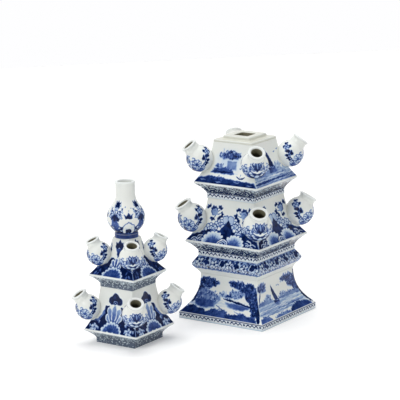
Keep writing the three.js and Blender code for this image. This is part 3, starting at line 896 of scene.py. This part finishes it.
def tier_3_wall(panel):
    """A palm leaf under a dark trefoil, rising from a fan flower between small blossoms."""
    wall = Brush(panel)
    ground = [
        (-40, -2), (-34, 8), (-28, 12), (-20, 15), (-15.4, 22), (-13, 30), (-8, 31), (-4, 24),
        (5, 24), (9, 31), (13, 30), (15.4, 22), (21, 15.4), (28, 12), (34, 8), (40, -2),
    ]
    wall.fill(ground, NAVY, bleed=0.9)
    for side in (-1, 1):
        half = Brush(panel, flip=side)
        small_blossom(half.at(24, 4.6), 4.6, WASH + 0.1)
        half.petals(((30.6, 3.2, 10), (18, 2.4, -30), (31, 0, 60), (19.4, 9.4, 20)), 4.4, 2.8, MID, PALE)
        for k in range(5):
            half.at(13.4 + 2.2 * k, 20.4 - 2.3 * k, -16 + 14 * k).leaf(5, 2.8, BLUE, WASH + 0.1)
        half.line([(13, 28), (15, 20.6), (20, 14.6), (28, 10.8)], 0.8, MID)
    palm_leaf(wall.at(0, 9), 23.5, 5, 42)
    trefoil(wall.at(0.4, 33.4))
    shelf_fan(wall.at(0, -1.6), 15.4, 0, BLUE, 0.22)
    for x in (-4, 2.4):
        wall.dot(x, -0.4, 1.8, BARE)


def tier_4_wall(panel):
    """A tulip bud over a palm leaf and a fan flower, with dark leaves under a thin arch."""
    wall = Brush(panel)
    ground = mirrored([(-36, -2), (-28, 8), (-19, 11.5), (-12, 17), (-8, 24), (0, 21)])
    wall.fill(ground, NAVY, bleed=0.9)
    for side in (-1, 1):
        half = Brush(panel, flip=side)
        half.line([(28, 9.6), (18, 13), (12.6, 20), (11, 30), (11.2, 40)], 1.4, NAVY, ends=0.6)
        half.leaves(((21, 0.4, 20), (25.4, 2.2, 50), (18, 5, -10)), 5, 2.8, BLUE, MID)
        half.ring(4, 0.8, PALE, 100, 150)
    palm_leaf(wall.at(0, 9), 14.5, 5, 48, BLUE)
    tulip_bud(wall.at(0, 24), 21, 11.5)
    shelf_fan(wall.at(0, -1.8), 15.4, 0, BLUE, 0.2)


def foliage(brush, width, height, cobalt, dabs, rng):
    """The crown of a tree: a blue wash under many short dark and light dabs, darkest on its lower side."""
    a = np.linspace(0, 2 * math.pi, 19)[:-1]
    wobble = 1 + 0.16 * np.sin(3 * a + width) + 0.1 * np.sin(7 * a)
    crown = np.column_stack([width / 2 * wobble * np.cos(a), height / 2 * wobble * np.sin(a)])
    brush.fill(crown, cobalt - 0.22, bleed=2.0)
    for k in range(dabs):
        angle, reach = rng.uniform(0, 2 * math.pi), rng.uniform(0.1, 1.05) ** 0.6
        x, y = width / 2 * reach * math.cos(angle), height / 2 * reach * math.sin(angle)
        shade = cobalt + 0.2 * rng.uniform(-1, 1) - 0.24 * y / height - (0.42 if k % 4 == 3 else 0)
        brush.at(x, y, rng.uniform(-70, 70)).leaf(rng.uniform(1.7, 3), 1.4, min(max(shade, PALE), 1))


def water(brush, width, height, strokes, cobalt, rng):
    """Flat water: level strokes of a wet brush, some nearly white."""
    for _ in range(strokes):
        x, y = rng.uniform(-0.5, 0.5) * width, rng.uniform(0, 1) * height
        long = rng.uniform(0.1, 0.3) * width
        tone = max(cobalt + rng.uniform(-0.2, 0.14), BARE)
        stroke = [(x - long, y), (x, y + rng.uniform(-0.5, 0.5)), (x + long, y)]
        brush.line(stroke, rng.uniform(0.7, 1.8), tone, ends=0.1, strength=0.75)


def bank(brush, width, height, cobalt, rng):
    """A low bank of earth with grass along its top and a paler underside."""
    t = np.linspace(-1, 1, 13)
    top = height * (1 - t * t) ** 0.6 * (1 + 0.14 * np.sin(9 * t + width))
    rise = np.column_stack([t * width / 2, top])
    earth = np.vstack([[(0, -1), (-width / 2, -1)], rise, [(width / 2, -1)]])
    brush.fill(earth, cobalt - 0.14, cobalt, bleed=1.2)
    for k in np.linspace(-0.9, 0.9, int(width / 1.6)):
        level = height * (1 - k * k) ** 0.6
        blade = brush.at(k * width / 2, level * rng.uniform(0.4, 1), rng.uniform(-35, 35))
        blade.leaf(rng.uniform(1.6, 3.4), 1.2, min(cobalt + rng.uniform(-0.2, 0.14), 1))


def cottage(brush, size):
    """A low house with a dark thatched roof."""
    b = brush.at(0, 0, 0, size)
    b.fill([(-5, 0), (-5, 4), (5, 4), (5, 0)], WASH, PALE)
    b.fill([(-6.4, 3.6), (-3.6, 8), (3.6, 8), (6.4, 3.6)], DARK, BLUE)
    b.line([(3, 8), (3, 10)], 1.2, DARK, ends=0.9)
    for x in (-2.6, 1.6):
        b.fill([(x, 0.6), (x, 2.6), (x + 1.4, 2.6), (x + 1.4, 0.6)], DARK)
    for x in (-5, 5):
        b.line([(x, 0), (x, 4)], 0.5, BLUE, ends=0.9)


def sailing_boat(brush, size):
    """A small boat under one tall sail that leans back from its mast."""
    b = brush.at(0, 0, 0, size)
    b.line([(-5, 22), (-4.2, 15), (-2.6, 2)], 0.8, NAVY, ends=0.7)
    b.fill([(-4.8, 20.6), (-3.8, 10), (-3, 2), (5, 1.6), (3.2, 8), (-1, 16)], NAVY, DARK, bleed=0.9)
    b.fill([(-6.4, 2), (-4.6, -1.4), (5.4, -1.4), (7, 2.2), (3, 1)], NAVY, BLUE, bleed=0.8)
    for y in (-2.6, -4.2):
        b.line([(-6, y), (0, y + 0.3), (6, y)], 1.0, BLUE, ends=0.1, strength=0.7)


def birds(brush, count, rng):
    """Small birds over the water."""
    for _ in range(count):
        b = brush.at(rng.uniform(-8, 8), rng.uniform(-3, 3), rng.uniform(-15, 15))
        b.line([(-1.7, 0.6), (-0.7, 1), (0, 0), (0.7, 1), (1.7, 0.6)], 0.55, DARK)


def pedestal_farm_side(panel):
    """River view with a farm on an island, under two hanging trees."""
    rng = np.random.default_rng(11)
    view = Brush(panel)
    water(view.at(0, 13), 90, 10, 22, PALE + 0.06, rng)
    foliage(view.at(-27, 40.6), 26, 12, DARK + 0.06, 130, rng)
    foliage(view.at(-37, 33), 10, 11, NAVY, 40, rng)
    view.line([(-46, 15), (-42.6, 23), (-40, 30), (-37, 37)], 3.4, NAVY)
    trees = ((14, 42.4, 26, 8), (27, 39, 24, 13), (34, 31, 18, 17), (40, 20, 12, 17), (43, 11, 8, 12))
    for x, y, w, h in trees:
        foliage(view.at(x, y), w, h, DARK + 0.08, int(w * h / 2.6), rng)
    foliage(view.at(-27, 22), 33, 21, BLUE + 0.02, 150, rng)
    undergrowth = [(-44, 19), (-40, 12), (-26, 9.6), (-14, 13), (-18, 19), (-30, 21)]
    view.fill(undergrowth, BLUE + 0.1, MID + 0.04, bleed=3.0)
    foliage(view.at(-6, 28), 10, 6, MID, 22, rng)
    foliage(view.at(13, 30.6), 19, 9.5, MID + 0.06, 70, rng)
    cottage(view.at(2.4, 23.6), 0.72)
    view.line([(-2, 27), (-1.8, 34)], 1.0, MID, ends=0.3)
    view.line([(-5, 24), (8, 22.6), (22, 20.6), (38, 18)], 2.4, NAVY, ends=0.2)
    view.fill([(36, 17.6), (24, 12.6), (6, 14), (-1, 20), (16, 20)], BLUE, MID, bleed=2.0)
    view.line([(-12, 15), (-4, 11.6), (2, 9.4)], 1.0, DARK)
    bank(view.at(-43, 0), 46, 10.5, NAVY, rng)
    bank(view.at(-7, -1), 42, 11.4, BLUE + 0.14, rng)
    bank(view.at(28, 0), 46, 8.4, BLUE + 0.18, rng)
    view.line([(53, 0), (49, 9), (47, 17), (44, 26)], 4.6, NAVY)
    view.line([(14, 11), (22, 9), (30, 9.6)], 1.2, MID, ends=0.2)


def pedestal_boat_side(panel):
    """River view with a sailing boat, far shore and near banks."""
    rng = np.random.default_rng(23)
    view = Brush(panel)
    water(view.at(0, 9), 100, 13, 46, WASH + 0.08, rng)
    trees = ((-31, 40, 17, 11), (22, 41.8, 24, 8), (31, 37, 20, 14), (38, 28, 13, 14))
    for x, y, w, h in trees:
        foliage(view.at(x, y), w, h, DARK, int(w * h / 2.6), rng)
    view.line([(54.6, 3), (50, 9), (46, 17), (43, 26), (40.2, 36), (38.6, 47)], 3.8, NAVY, ends=0.6)
    view.line([(-44, 20), (-40, 27), (-36, 34), (-33, 40)], 1.8, DARK)
    bank(view.at(-30, 20.6), 32, 4, MID + 0.06, rng)
    bank(view.at(20, 21.6), 44, 3.4, MID + 0.06, rng)
    foliage(view.at(8, 25), 9, 5, MID, 16, rng)
    foliage(view.at(-22, 26), 12, 7, MID + 0.04, 26, rng)
    sailing_boat(view.at(-8, 19.4), 0.94)
    birds(view.at(4, 36), 3, rng)
    water(view.at(0, 6), 84, 5, 18, MID, rng)
    bank(view.at(-46, 0.2), 26, 7, BLUE, rng)
    bank(view.at(-8, -1.4), 44, 5.4, MID + 0.1, rng)
    bank(view.at(30, 0.4), 46, 8.5, DARK, rng)


def tier_2_farm_side(panel):
    """A wooded islet with a cottage, over a dark shelf."""
    rng = np.random.default_rng(5)
    view = Brush(panel)
    shelf = [(-46, -2), (-40, 7), (-22, 9.6), (0, 8.4), (20, 7), (38, 6.4), (46, -2)]
    view.fill(shelf, BLUE + 0.14, DARK, bleed=1.8)
    bank(view.at(-18, -1), 48, 11, DARK, rng)
    water(view.at(0, 0), 74, 7, 30, BLUE + 0.18, rng)
    for x, y, w in ((-32, 4.4, 9), (-10, 3, 8), (14, 5, 10), (33, 2.6, 8)):
        view.line([(x - w / 2, y + 0.8), (x, y), (x + w / 2, y + 0.6)], 1.2, WASH, ends=0.1, strength=0.8)
    view.fill([(-14, 20), (-18, 32), (-8, 40), (6, 40), (14, 32), (12, 20)], PALE - 0.03, bleed=12.0)
    water(view.at(-4, 13), 34, 4, 9, PALE + 0.06, rng)
    bank(view.at(-8, 15), 32, 6.4, BLUE + 0.12, rng)
    view.line([(-22, 16.4), (-8, 16), (6, 17)], 1.6, NAVY, ends=0.2)
    foliage(view.at(-14, 22.6), 11, 5, BLUE, 24, rng)
    view.fill([(-4, 20), (-3, 29.6), (9, 29.6), (9.4, 20)], MID, WASH + 0.12, bleed=2.2)
    view.line([(-4, 28.6), (9, 29)], 0.8, BLUE)
    foliage(view.at(-10, 34.6), 11, 7, BLUE - 0.04, 30, rng)
    foliage(view.at(0, 36), 22, 9.6, BLUE + 0.14, 100, rng)
    foliage(view.at(9.4, 36.6), 9, 6, DARK, 24, rng)
    view.line([(-10.6, 36), (-10.2, 43)], 1.6, BLUE, ends=0.2)
    view.line([(12, 12.4), (16, 10.2), (21, 10.8), (24, 12.6)], 1.5, NAVY)
    view.line([(17, 11), (17.6, 15)], 0.7, NAVY, ends=0.4)
    birds(view.at(15, 22), 1, rng)


def tier_2_boat_side(panel):
    """A sailing boat on open water that runs over the shelf."""
    rng = np.random.default_rng(8)
    view = Brush(panel)
    sea = [(0, -2), (-46, -2), (-34, 10), (-6, 17.6), (16, 19), (32, 9), (46, -2)]
    view.fill(sea, MID - 0.12, WASH - 0.04, bleed=3.0)
    water(view.at(0, 1), 80, 15, 60, MID + 0.02, rng)
    water(view.at(0, 0), 84, 13, 26, PALE, rng)
    water(view.at(0, 1), 84, 6, 18, BLUE + 0.14, rng)
    foliage(view.at(16, 19), 12, 9, MID - 0.04, 30, rng)
    foliage(view.at(24, 13), 12, 6, MID, 22, rng)
    sailing_boat(view.at(3, 17.4), 1.16)
    bank(view.at(4, 13.6), 15, 3, BLUE + 0.06, rng)
    birds(view.at(16, 38), 2, rng)


def waist_scroll(panel):
    """A running scroll of outlined flowers and dark leaves round the moulding, over a white undercut."""
    wall = Brush(panel)
    wall.fill([(-50, 8), (-50, 25), (50, 25), (50, 8)], WASH + 0.06, bleed=1.2)
    wall.line([(-50, 8.2), (0, 8.2), (50, 8.2)], 0.9, BLUE, ends=1)
    wall.line([(-50, 25.4), (0, 25.4), (50, 25.4)], 0.9, DARK, ends=1)
    leaves = ((-2, -3.4, -10, 8), (1.8, -3, 14, 8.4), (-4.2, 2, -64, 5), (3.6, 4, 58, 5), (0.4, -4, 168, 4.6))
    buds = ((0, 11, -20), (3.4, 9.6, 10), (7.4, 9.8, -10), (11.2, 11, 24), (-4, 9.4, 0), (-7.6, 10, 12))
    for k in range(-2, 3):
        lean = 1 if k % 2 else -1
        spray = wall.at(21 * k - 5, 17, 30 * lean)
        spray.dot(0, 0.6, 5.4, PALE)
        for x, y, turn, long in leaves:
            spray.at(x, y, turn).leaf(long, 3.9, NAVY, DARK)
        spray.line([(-8, -4), (-5.6, -1), (-6, 4), (-2, 6.4)], 0.8, NAVY)
        bloom = wall.at(21 * k + 5.4, 16.8 - 0.8 * lean)
        bloom.dot(0, 0, 5.4, BLUE)
        bloom.rosette(5, 20 * k, 5.8, 4.6, BARE, PALE, NAVY, 0.6)
        bloom.dot(0, 0, 1.4, NAVY)
        for x, y, turn in buds:
            wall.at(21 * k + x, y - 0.6, turn + 8 * lean).petal(3.8, 3.4, PALE, BARE, NAVY, 0.6)
        for x, y, turn in ((11.4, 19.6, 20), (-0.4, 20.4, -20), (12.6, 14.6, 150), (10.4, 23, 90)):
            wall.at(21 * k + x, y, turn).leaf(4.2, 2.2, NAVY, DARK)


def gourd_quarter(panel):
    """One quarter of the belly: a small bud over a white arch, between two halves of a flowering spray."""
    belly = Brush(panel)
    belly.fill(mirrored([(-18, -1), (-18, 10), (-13, 13), (-9.6, 12)]), NAVY, bleed=0.9)
    leaves = (
        (11.6, 19, -30, 7), (9.6, 31, 40, 4.4), (8.6, 25.6, -60, 4), (13, 29, 60, 5), (12.6, 34, -40, 4.6),
    )
    petals = (
        (10.6, 27, -50), (8, 28.4, -10), (11.4, 36, -20), (7.4, 22.6, -70), (12.4, 24, -20), (17.4, 31, 50),
    )
    for side in (-1, 1):
        half = Brush(panel, flip=side)
        half.line([(13, 6), (15.8, 17), (14.6, 28), (16, 37)], 0.9, NAVY)
        half.line([(15, 25), (10.6, 27.4), (8.6, 32), (10.4, 34.6)], 0.7, DARK)
        half.line([(15.4, 20), (10.4, 22), (7.6, 26)], 0.7, DARK)
        half.at(18, 3, 0).leaf(17, 7.4, DARK, NAVY)
        half.at(14.8, 6, -4).leaf(17, 8.2, BLUE + 0.04, BLUE - 0.06)
        for turn in (-30, -12, 6, 22):
            half.at(14.8, 7, turn).line([(0, 2), (0, 10)], 0.9, PALE, ends=0.2)
        half.at(16.8, 18, -3).leaf(13, 3.8, NAVY, NAVY)
        for x, y, turn, long in leaves:
            half.at(x, y, turn).leaf(long, long * 0.46, NAVY, DARK)
        half.leaves([(16.2, 34.6, turn) for turn in (-30, 0, 30)], 9, 3.4, NAVY)
        half.petals(petals, 4, 2.6, PALE, BARE, DARK, 0.5)
        half.at(10.2, 4, -18).petal(8, 5, PALE, BARE, NAVY, 0.6)
        half.dot(11.4, 8.4, 1.7, NAVY)
    bud = mirrored([(-6, 27.4), (-2.8, 25), (0, 28.4)])
    belly.fill(bud + [(3.8, 21.6), (-3.8, 21.6)], NAVY, DARK)
    belly.fill([(0, -1)] + mirrored([(-8.8, -1), (-9.2, 6), (-6.8, 13.6), (0, 18.6)]), DARK)
    belly.fill([(0, -1)] + mirrored([(-8.2, -1), (-8.5, 6), (-6.2, 13.2), (0, 17.9)]), BARE)
    for side in (-1, 1):
        belly.line([(side * 3, 9), (side * 5, 12.4)], 0.6, BLUE)
    belly.dot(0, 4.4, 4.8, NAVY)
    belly.ring(2, 0.8, WASH, -80, 80)
    belly.line([(-18, 0.2), (0, 0.2), (18, 0.2)], 2, NAVY, ends=1)
    for x, y in ((-4, 36), (0.6, 31), (4.4, 34)):
        belly.dot(x, y, 0.8, MID)


def bulb_ground(face):
    """Large pale petals with dark outlines over a dark ground, round the outer foot of a bulb."""
    ground = mirrored([(-16, -5), (-10, -7), (-4, -9.4), (0, -10.6)])
    face.fill(ground + [(16, -22), (0, -26), (-16, -22)], DARK, NAVY, bleed=1.2)
    petals = (
        (15, -9, -20, 8), (10.4, -10.4, -8, 8.4), (12.4, -13, -44, 7), (5.4, -14, -40, 8), (3, -15.4, -62, 7),
    )
    for side in (-1, 1):
        half = face.at(0, 0, 0, 1, side)
        for x, y, turn, long in petals:
            half.at(x, y, turn).petal(long, long * 0.66, WASH, BARE, NAVY, 0.6)
        half.at(9, -6.4, -14).leaf(5, 3, BLUE, MID)
    face.dot(0, -16.4, 3.4, PALE)


def bulb_front(panel, radius):
    """A lotus on the outward face of a bulb, above a blue flowered ground."""
    bulb_ground(Brush(panel, 0, 1.4, 0, radius / 17))
    face = Brush(panel, 0, -3, 0, 1.2 * radius / 17)
    for turn, long, wide, tone in ((64, 9.4, 5.4, BARE), (44, 10.6, 5.6, BARE), (26, 10.6, 5.4, PALE)):
        for side in (-1, 1):
            petal = face.at(0, -0.6, turn * side)
            petal.leaf(long, wide, NAVY, belly=0.95)
            petal.at(0, 0.7).leaf(long - 1.5, wide - 1.5, tone, belly=0.95)
    for turn, long in ((36, 7), (-36, 7), (16, 8.6), (-16, 8.6), (0, 9)):
        petal = face.at(0, -0.4, turn)
        petal.leaf(long, 3.8, NAVY)
        petal.at(0, 0.8).leaf(long - 1.6, 2.4, MID - 0.06, WASH)
    face.dot(0, -0.8, 1.4, NAVY)


def bulb_side(panel, radius):
    """A flowering spray up the inner side of a bulb; x grows outwards, towards the mouth."""
    face = Brush(panel, 0, 0, 0, radius / 17)
    ground = [(20, -6), (12, -2), (6, -3), (0, -9), (-4, -13), (2, -22), (20, -24)]
    face.fill(ground, MID + 0.04, BLUE, bleed=2.0)
    fans = ((13.6, -2.4, 30, 6.6), (6.4, -5.4, 10, 6.6), (0.6, -11.6, -16, 5.4), (10, -12, 10, 6))
    for x, y, turn, size in fans:
        fan = face.at(x, y, turn)
        fan.dot(0, 0.6, size * 0.62, MID)
        spreads = [(0, 0, spread) for spread in (-80, -40, 0, 40, 80)]
        fan.petals(spreads, size, size * 0.7, WASH, BARE, DARK, 0.6)
        fan.dot(0, 0.6, 1.6, BLUE)
    face.line([(-7.6, 15), (-8, 9), (-5.6, 4), (-3.4, -2), (0.6, -8)], 0.9, NAVY)
    leaves = (
        (-2.8, 0.6, -6, 7.4), (-0.6, 1, 20, 5), (-4.8, 4, 30, 5.4), (-6.6, 5, 64, 5), (-5, 0.4, 84, 6),
        (-4, -2, 110, 5.4), (-2.6, -5, 96, 4), (-10.6, 10.6, 40, 4.6), (-5, 11.6, -50, 4.4),
        (-7.6, 16.6, -30, 4.4), (-8.4, 16.6, 30, 4.4),
    )
    for x, y, turn, long in leaves:
        face.at(x, y, turn).leaf(long, 3.6, NAVY)
    face.dot(-8, 12, 4.2, DARK)
    face.at(-8, 12).rosette(4, 20, 4, 4.2, WASH + 0.06, PALE, DARK, 0.5)
    face.dot(-8, 12, 0.9, BLUE)


# The pieces, each grown in its place and then painted
BULB_PANEL = 24
# the blue fades over the last of a wall before its corner, to a quarter
CORNER_FADE = 0.8
CORNER_LEAST = 0.25
# how far past a bulb's radius a point may lie and still be on the bulb, not on its neck
BULB_SLACK = 0.4


def upright(axis, bottom):
    """The place of a piece that stands on an axis."""
    return Matrix.Translation(Vector((*axis, bottom)) * MM)


def finish_piece(piece, node, body):
    """Puts a finished piece in the place of its solid."""
    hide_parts(node)
    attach(piece, body)


def by_hand(x, y):
    """Places moved by a few tenths of a millimetre in slow waves, as a hand strays from its pattern."""
    sway = 0.3 * np.sin(x * 0.9 + y * 0.4) + 0.2 * np.sin(y * 1.3 - x * 0.5 + 2)
    lift = 0.3 * np.sin(y * 0.8 + x * 0.6 + 1) + 0.2 * np.sin(x * 1.4 - y * 0.3)
    return x + sway, y + lift


def painted(motif, half, bottom, top, *more):
    """A panel with a motif on it."""
    panel = Panel(-half, half, bottom, top)
    motif(panel, *more)
    return panel


def paint_walls(piece, axis, panels, clear=0.3):
    """Reads the panels, one for the walls 0 and 2 and one for 1 and 3, into a four-walled piece."""
    p = read(piece.data, "position") / MM - (*axis, 0)
    wall = np.floor(np.degrees(np.arctan2(p[:, 1], p[:, 0])) / 90).astype(int) % 4
    turn = np.radians(45 + 90 * wall)
    along = -p[:, 0] * np.sin(turn) + p[:, 1] * np.cos(turn)
    out = p[:, 0] * np.cos(turn) + p[:, 1] * np.sin(turn)
    run = read(piece.data, "run")
    glazed = read(piece.data, "bare_in_shade") < 0.5
    cobalt = np.zeros(len(wall))
    for k, panel in enumerate(panels):
        here = (wall % 2 == k) & glazed & (run > clear)
        cobalt[here] = panel.at(*by_hand(along[here], run[here]))
    # the glaze runs thin there and takes the blue with it
    cobalt *= np.clip((out - np.abs(along)) / CORNER_FADE, CORNER_LEAST, 1)
    stain(piece, cobalt)


def paint_bulb(spout, centre, away, radius, front, side):
    """Reads the outward panel and the two side panels into a bulb, each about its own direction."""
    p = read(spout.data, "position") / MM - np.array(centre)
    reach = np.linalg.norm(p, axis=1)
    glazed = (read(spout.data, "bare_in_shade") < 0.5) & (reach < radius + BULB_SLACK)
    p /= reach[:, None]
    out, up = p @ np.array(away), p[:, 2]
    across = p @ np.array((-away[1], away[0], 0))
    on_front = glazed & (out > 0) & (out >= np.abs(across))
    on_side = glazed & (np.abs(across) > np.maximum(out, 0))
    cobalt = np.zeros(len(p))
    for panel, here, middle, level in ((front, on_front, out, across), (side, on_side, np.abs(across), out)):
        angle = np.arccos(np.clip(middle[here], -1, 1))
        scale = radius * angle / np.maximum(np.sin(angle), 1e-6)
        cobalt[here] = panel.at(*by_hand(level[here] * scale, up[here] * scale))
    stain(spout, cobalt)


def dress_tier(name, axis, body, panels, **form):
    """A vessel and its four spouts."""
    t, s = TIERS[name], SPOUTS[name]
    place = upright(axis, t["bottom"])
    vessel = grow(name + "_body", tier_section(t, **form), square_shell, COLUMNS[name], wall_glaze, place)
    paint_walls(vessel, axis, panels, clear=0.8)
    finish_piece(vessel, name + "_vessel", body)
    front, side = (
        painted(motif, BULB_PANEL, -BULB_PANEL, BULB_PANEL, s["bulb"]) for motif in (bulb_front, bulb_side)
    )
    section = spout_section(s)
    for word, heading in (("right", 0), ("back", 90), ("left", 180), ("front", 270)):
        away = Vector((math.cos(math.radians(heading)), math.sin(math.radians(heading)), 0))
        centre = Vector((*axis, t["bottom"] + s["height"])) + s["reach"] * away
        tilt = Matrix.Rotation(math.radians(90 - s["elevation"]), 4, "X")
        turn = Matrix.Rotation(math.radians(heading + 90), 4, "Z")
        place = Matrix.Translation(centre * MM) @ turn @ tilt
        spout = grow(f"{name}_bulb_{word}", section, turned_shell, COLUMNS["spout"], spout_glaze, place)
        paint_bulb(spout, centre, away, s["bulb"], front, side)
        finish_piece(spout, f"{name}_spout_{word}", body)


square_shell = shell_tree("square_shell", True)
turned_shell = shell_tree("turned_shell", False)
wall_glaze = cobalt_painted_glaze("cobalt_painted_tin_glaze", True)
spout_glaze = cobalt_painted_glaze("cobalt_painted_spout_glaze", False)
# under the upper section's foot the glaze is thin, and the clay shows through it as a warmer, duller white
white_glaze = cobalt_painted_glaze("thin_white_tin_glaze", False, THIN_GLAZE_WHITE)
# the bare clay is dark, as painted shade inside the vessels and down their mouths
shaded_clay = shaded_bare_clay()

place = upright(LOWER_AXIS, 0)
pedestal = grow("pedestal_body", pedestal_section(), square_shell, COLUMNS["pedestal"], wall_glaze, place)
views = [painted(view, 59, 0, 53) for view in (pedestal_farm_side, pedestal_boat_side)]
paint_walls(pedestal, LOWER_AXIS, views)
finish_piece(pedestal, "pedestal", "lower_section")

place = upright(LOWER_AXIS, PEDESTAL["height"])
waist = grow("waist_body", moulding_section(), square_shell, COLUMNS["waist"], wall_glaze, place)
paint_walls(waist, LOWER_AXIS, [painted(waist_scroll, 50, -1, 27)] * 2)
finish_piece(waist, "waist_moulding", "lower_section")

dress_tier("tier_1", LOWER_AXIS, "lower_section", [painted(tier_1_wall, 53, -2, 58)] * 2)
views = [painted(view, 45, -2, 58) for view in (tier_2_farm_side, tier_2_boat_side)]
dress_tier("tier_2", LOWER_AXIS, "lower_section", views)

place = upright(LOWER_AXIS, TIERS["tier_2"]["bottom"] + TIERS["tier_2"]["top"][1])
collar = grow("collar_body", collar_section(), square_shell, COLUMNS["collar"], white_glaze, place)
stain(collar, np.zeros(len(collar.data.vertices)))
finish_piece(collar, "stacking_collar", "lower_section")

recess = (COLLAR["side"] + 2 * COLLAR["clearance"], COLLAR["height"] + 1)
dress_tier("tier_3", UPPER_AXIS, "upper_section", [painted(tier_3_wall, 38, -2, 55)] * 2, recess=recess)
dress_tier("tier_4", UPPER_AXIS, "upper_section", [painted(tier_4_wall, 33, -2, 50)] * 2, closed_top=True)

# the gourd's panel is a quarter of its belly, its ring is plain blue and its lip is white
PAINTED_RUN = 46
place = upright(UPPER_AXIS, GOURD["bottom"])
gourd = grow("gourd_body", gourd_section(), turned_shell, COLUMNS["gourd"], spout_glaze, place)
quarter = painted(gourd_quarter, 18, -1, 48)
p = read(gourd.data, "position") / MM - (*UPPER_AXIS, 0)
bearing = (np.degrees(np.arctan2(p[:, 1], p[:, 0])) + 45) % 90 - 45
run = read(gourd.data, "run")
cobalt = quarter.at(*by_hand(np.radians(bearing) * GOURD["belly"], run)) * (run < PAINTED_RUN)
cobalt = np.where(run <= 0.5, BLUE + 0.08, cobalt) * (read(gourd.data, "bare_in_shade") < 0.5)
stain(gourd, cobalt)
finish_piece(gourd, "gourd_neck", "upper_section")


def seen_as_background(tree):
    """1 for the rays that show the background, the camera's own and those through glass, and 1 in gloss."""
    ray = add(tree, "ShaderNodeLightPath").outputs
    through = {0: ray["Is Camera Ray"], 1: ray["Is Transmission Ray"]}
    return add(tree, "ShaderNodeMath", through, operation="MAXIMUM"), ray["Is Glossy Ray"]


# White studio: a floor that keeps the shadow and shows white to the camera and in the gloss
FLOOR_HALF = 2
floor_mesh = bpy.data.meshes.new("studio_floor")
corners = [(x * FLOOR_HALF, y * FLOOR_HALF, 0) for x, y in ((-1, -1), (1, -1), (1, 1), (-1, 1))]
floor_mesh.from_pydata(corners, [], [(0, 1, 2, 3)])
floor = bpy.data.objects.new("studio_floor", floor_mesh)
bpy.context.scene.collection.objects.link(floor)
paper, tree = fresh_material("matt_white_studio_paper")
place = add(tree, "ShaderNodeTexCoord").outputs["Object"]
tooth = add(tree, "ShaderNodeTexNoise", {"Vector": place, **PAPER_TOOTH})
bump = add(tree, "ShaderNodeBump", {"Height": tooth, "Strength": 0.05, "Distance": 0.0002})
matt = add(tree, "ShaderNodeBsdfDiffuse", {"Color": srgb("F7F7F6"), "Normal": bump})
lift = add(tree, "ShaderNodeEmission", {"Color": srgb("FFFEFC"), "Strength": 0.15})
lifted = add(tree, "ShaderNodeAddShader", {0: matt, 1: lift})
seen, in_gloss = seen_as_background(tree)
seen = add(tree, "ShaderNodeMath", {0: seen, 1: in_gloss}, operation="MAXIMUM")
both = add(tree, "ShaderNodeMixShader", {0: seen, 1: matt, 2: lifted})
add(tree, "ShaderNodeOutputMaterial", {"Surface": both})
floor_mesh.materials.append(paper)

world = bpy.data.worlds.new("white_studio")
bpy.context.scene.world = world
world.use_nodes = True
tree = world.node_tree
tree.nodes.clear()
# the gloss sees the white backdrop up to eye level, and the dim ceiling of the studio above it
heading = add(tree, "ShaderNodeTexCoord").outputs["Generated"]
heading = add(tree, "ShaderNodeSeparateXYZ", {0: heading}).outputs["Z"]
backdrop = add(tree, "ShaderNodeMapRange", {"Value": heading, 1: 0.15, 2: 0.5, 3: 1.0, 4: 0.06})
seen, in_gloss = seen_as_background(tree)
level = add(tree, "ShaderNodeMix", {0: in_gloss, 2: 0.48, 3: backdrop})
level = add(tree, "ShaderNodeMix", {0: seen, 2: level, 3: 1.0})
studio = add(tree, "ShaderNodeBackground", {"Color": srgb("FEFEFF"), "Strength": level})
add(tree, "ShaderNodeOutputWorld", {"Surface": studio})

# Softboxes: where each stands, its side in metres, its watts, and if it shows in the gloss
SOFTBOXES = {
    "key_softbox": ((-2.6, -2.2, 2.6), 2.2, 57, True),
    "fill_softbox": ((3.0, -2.0, 2.0), 2.6, 9, False),
    "top_softbox": ((0.0, 0.7, 3.3), 2.6, 67, False),
}
middle = Vector((0, 0, 0.1))
for name, (stand, side, watts, in_gloss) in SOFTBOXES.items():
    light = bpy.data.lights.new(name, "AREA")
    light.size = side
    light.energy = watts
    lamp = bpy.data.objects.new(name, light)
    lamp.location = stand
    lamp.rotation_euler = (middle - Vector(stand)).to_track_quat("-Z", "Y").to_euler()
    lamp.visible_glossy = in_gloss
    bpy.context.scene.collection.objects.link(lamp)

# The photograph's view: a long lens from slightly above, with the picture turned by a degree
bpy.context.scene.view_settings.view_transform = "Standard"
lens = bpy.data.cameras.new("studio_camera")
lens.lens = 180
lens.sensor_width = 36
camera = bpy.data.objects.new("studio_camera", lens)
forward = Vector((0.17007, 0.96033, -0.22100))
camera.location = (-0.38737, -2.22629, 0.65987)
level = forward.to_track_quat("-Z", "Y")
camera.rotation_euler = (level.to_matrix() @ Matrix.Rotation(math.radians(-1.242), 3, "Z")).to_euler()
bpy.context.scene.collection.objects.link(camera)
bpy.context.scene.camera = camera
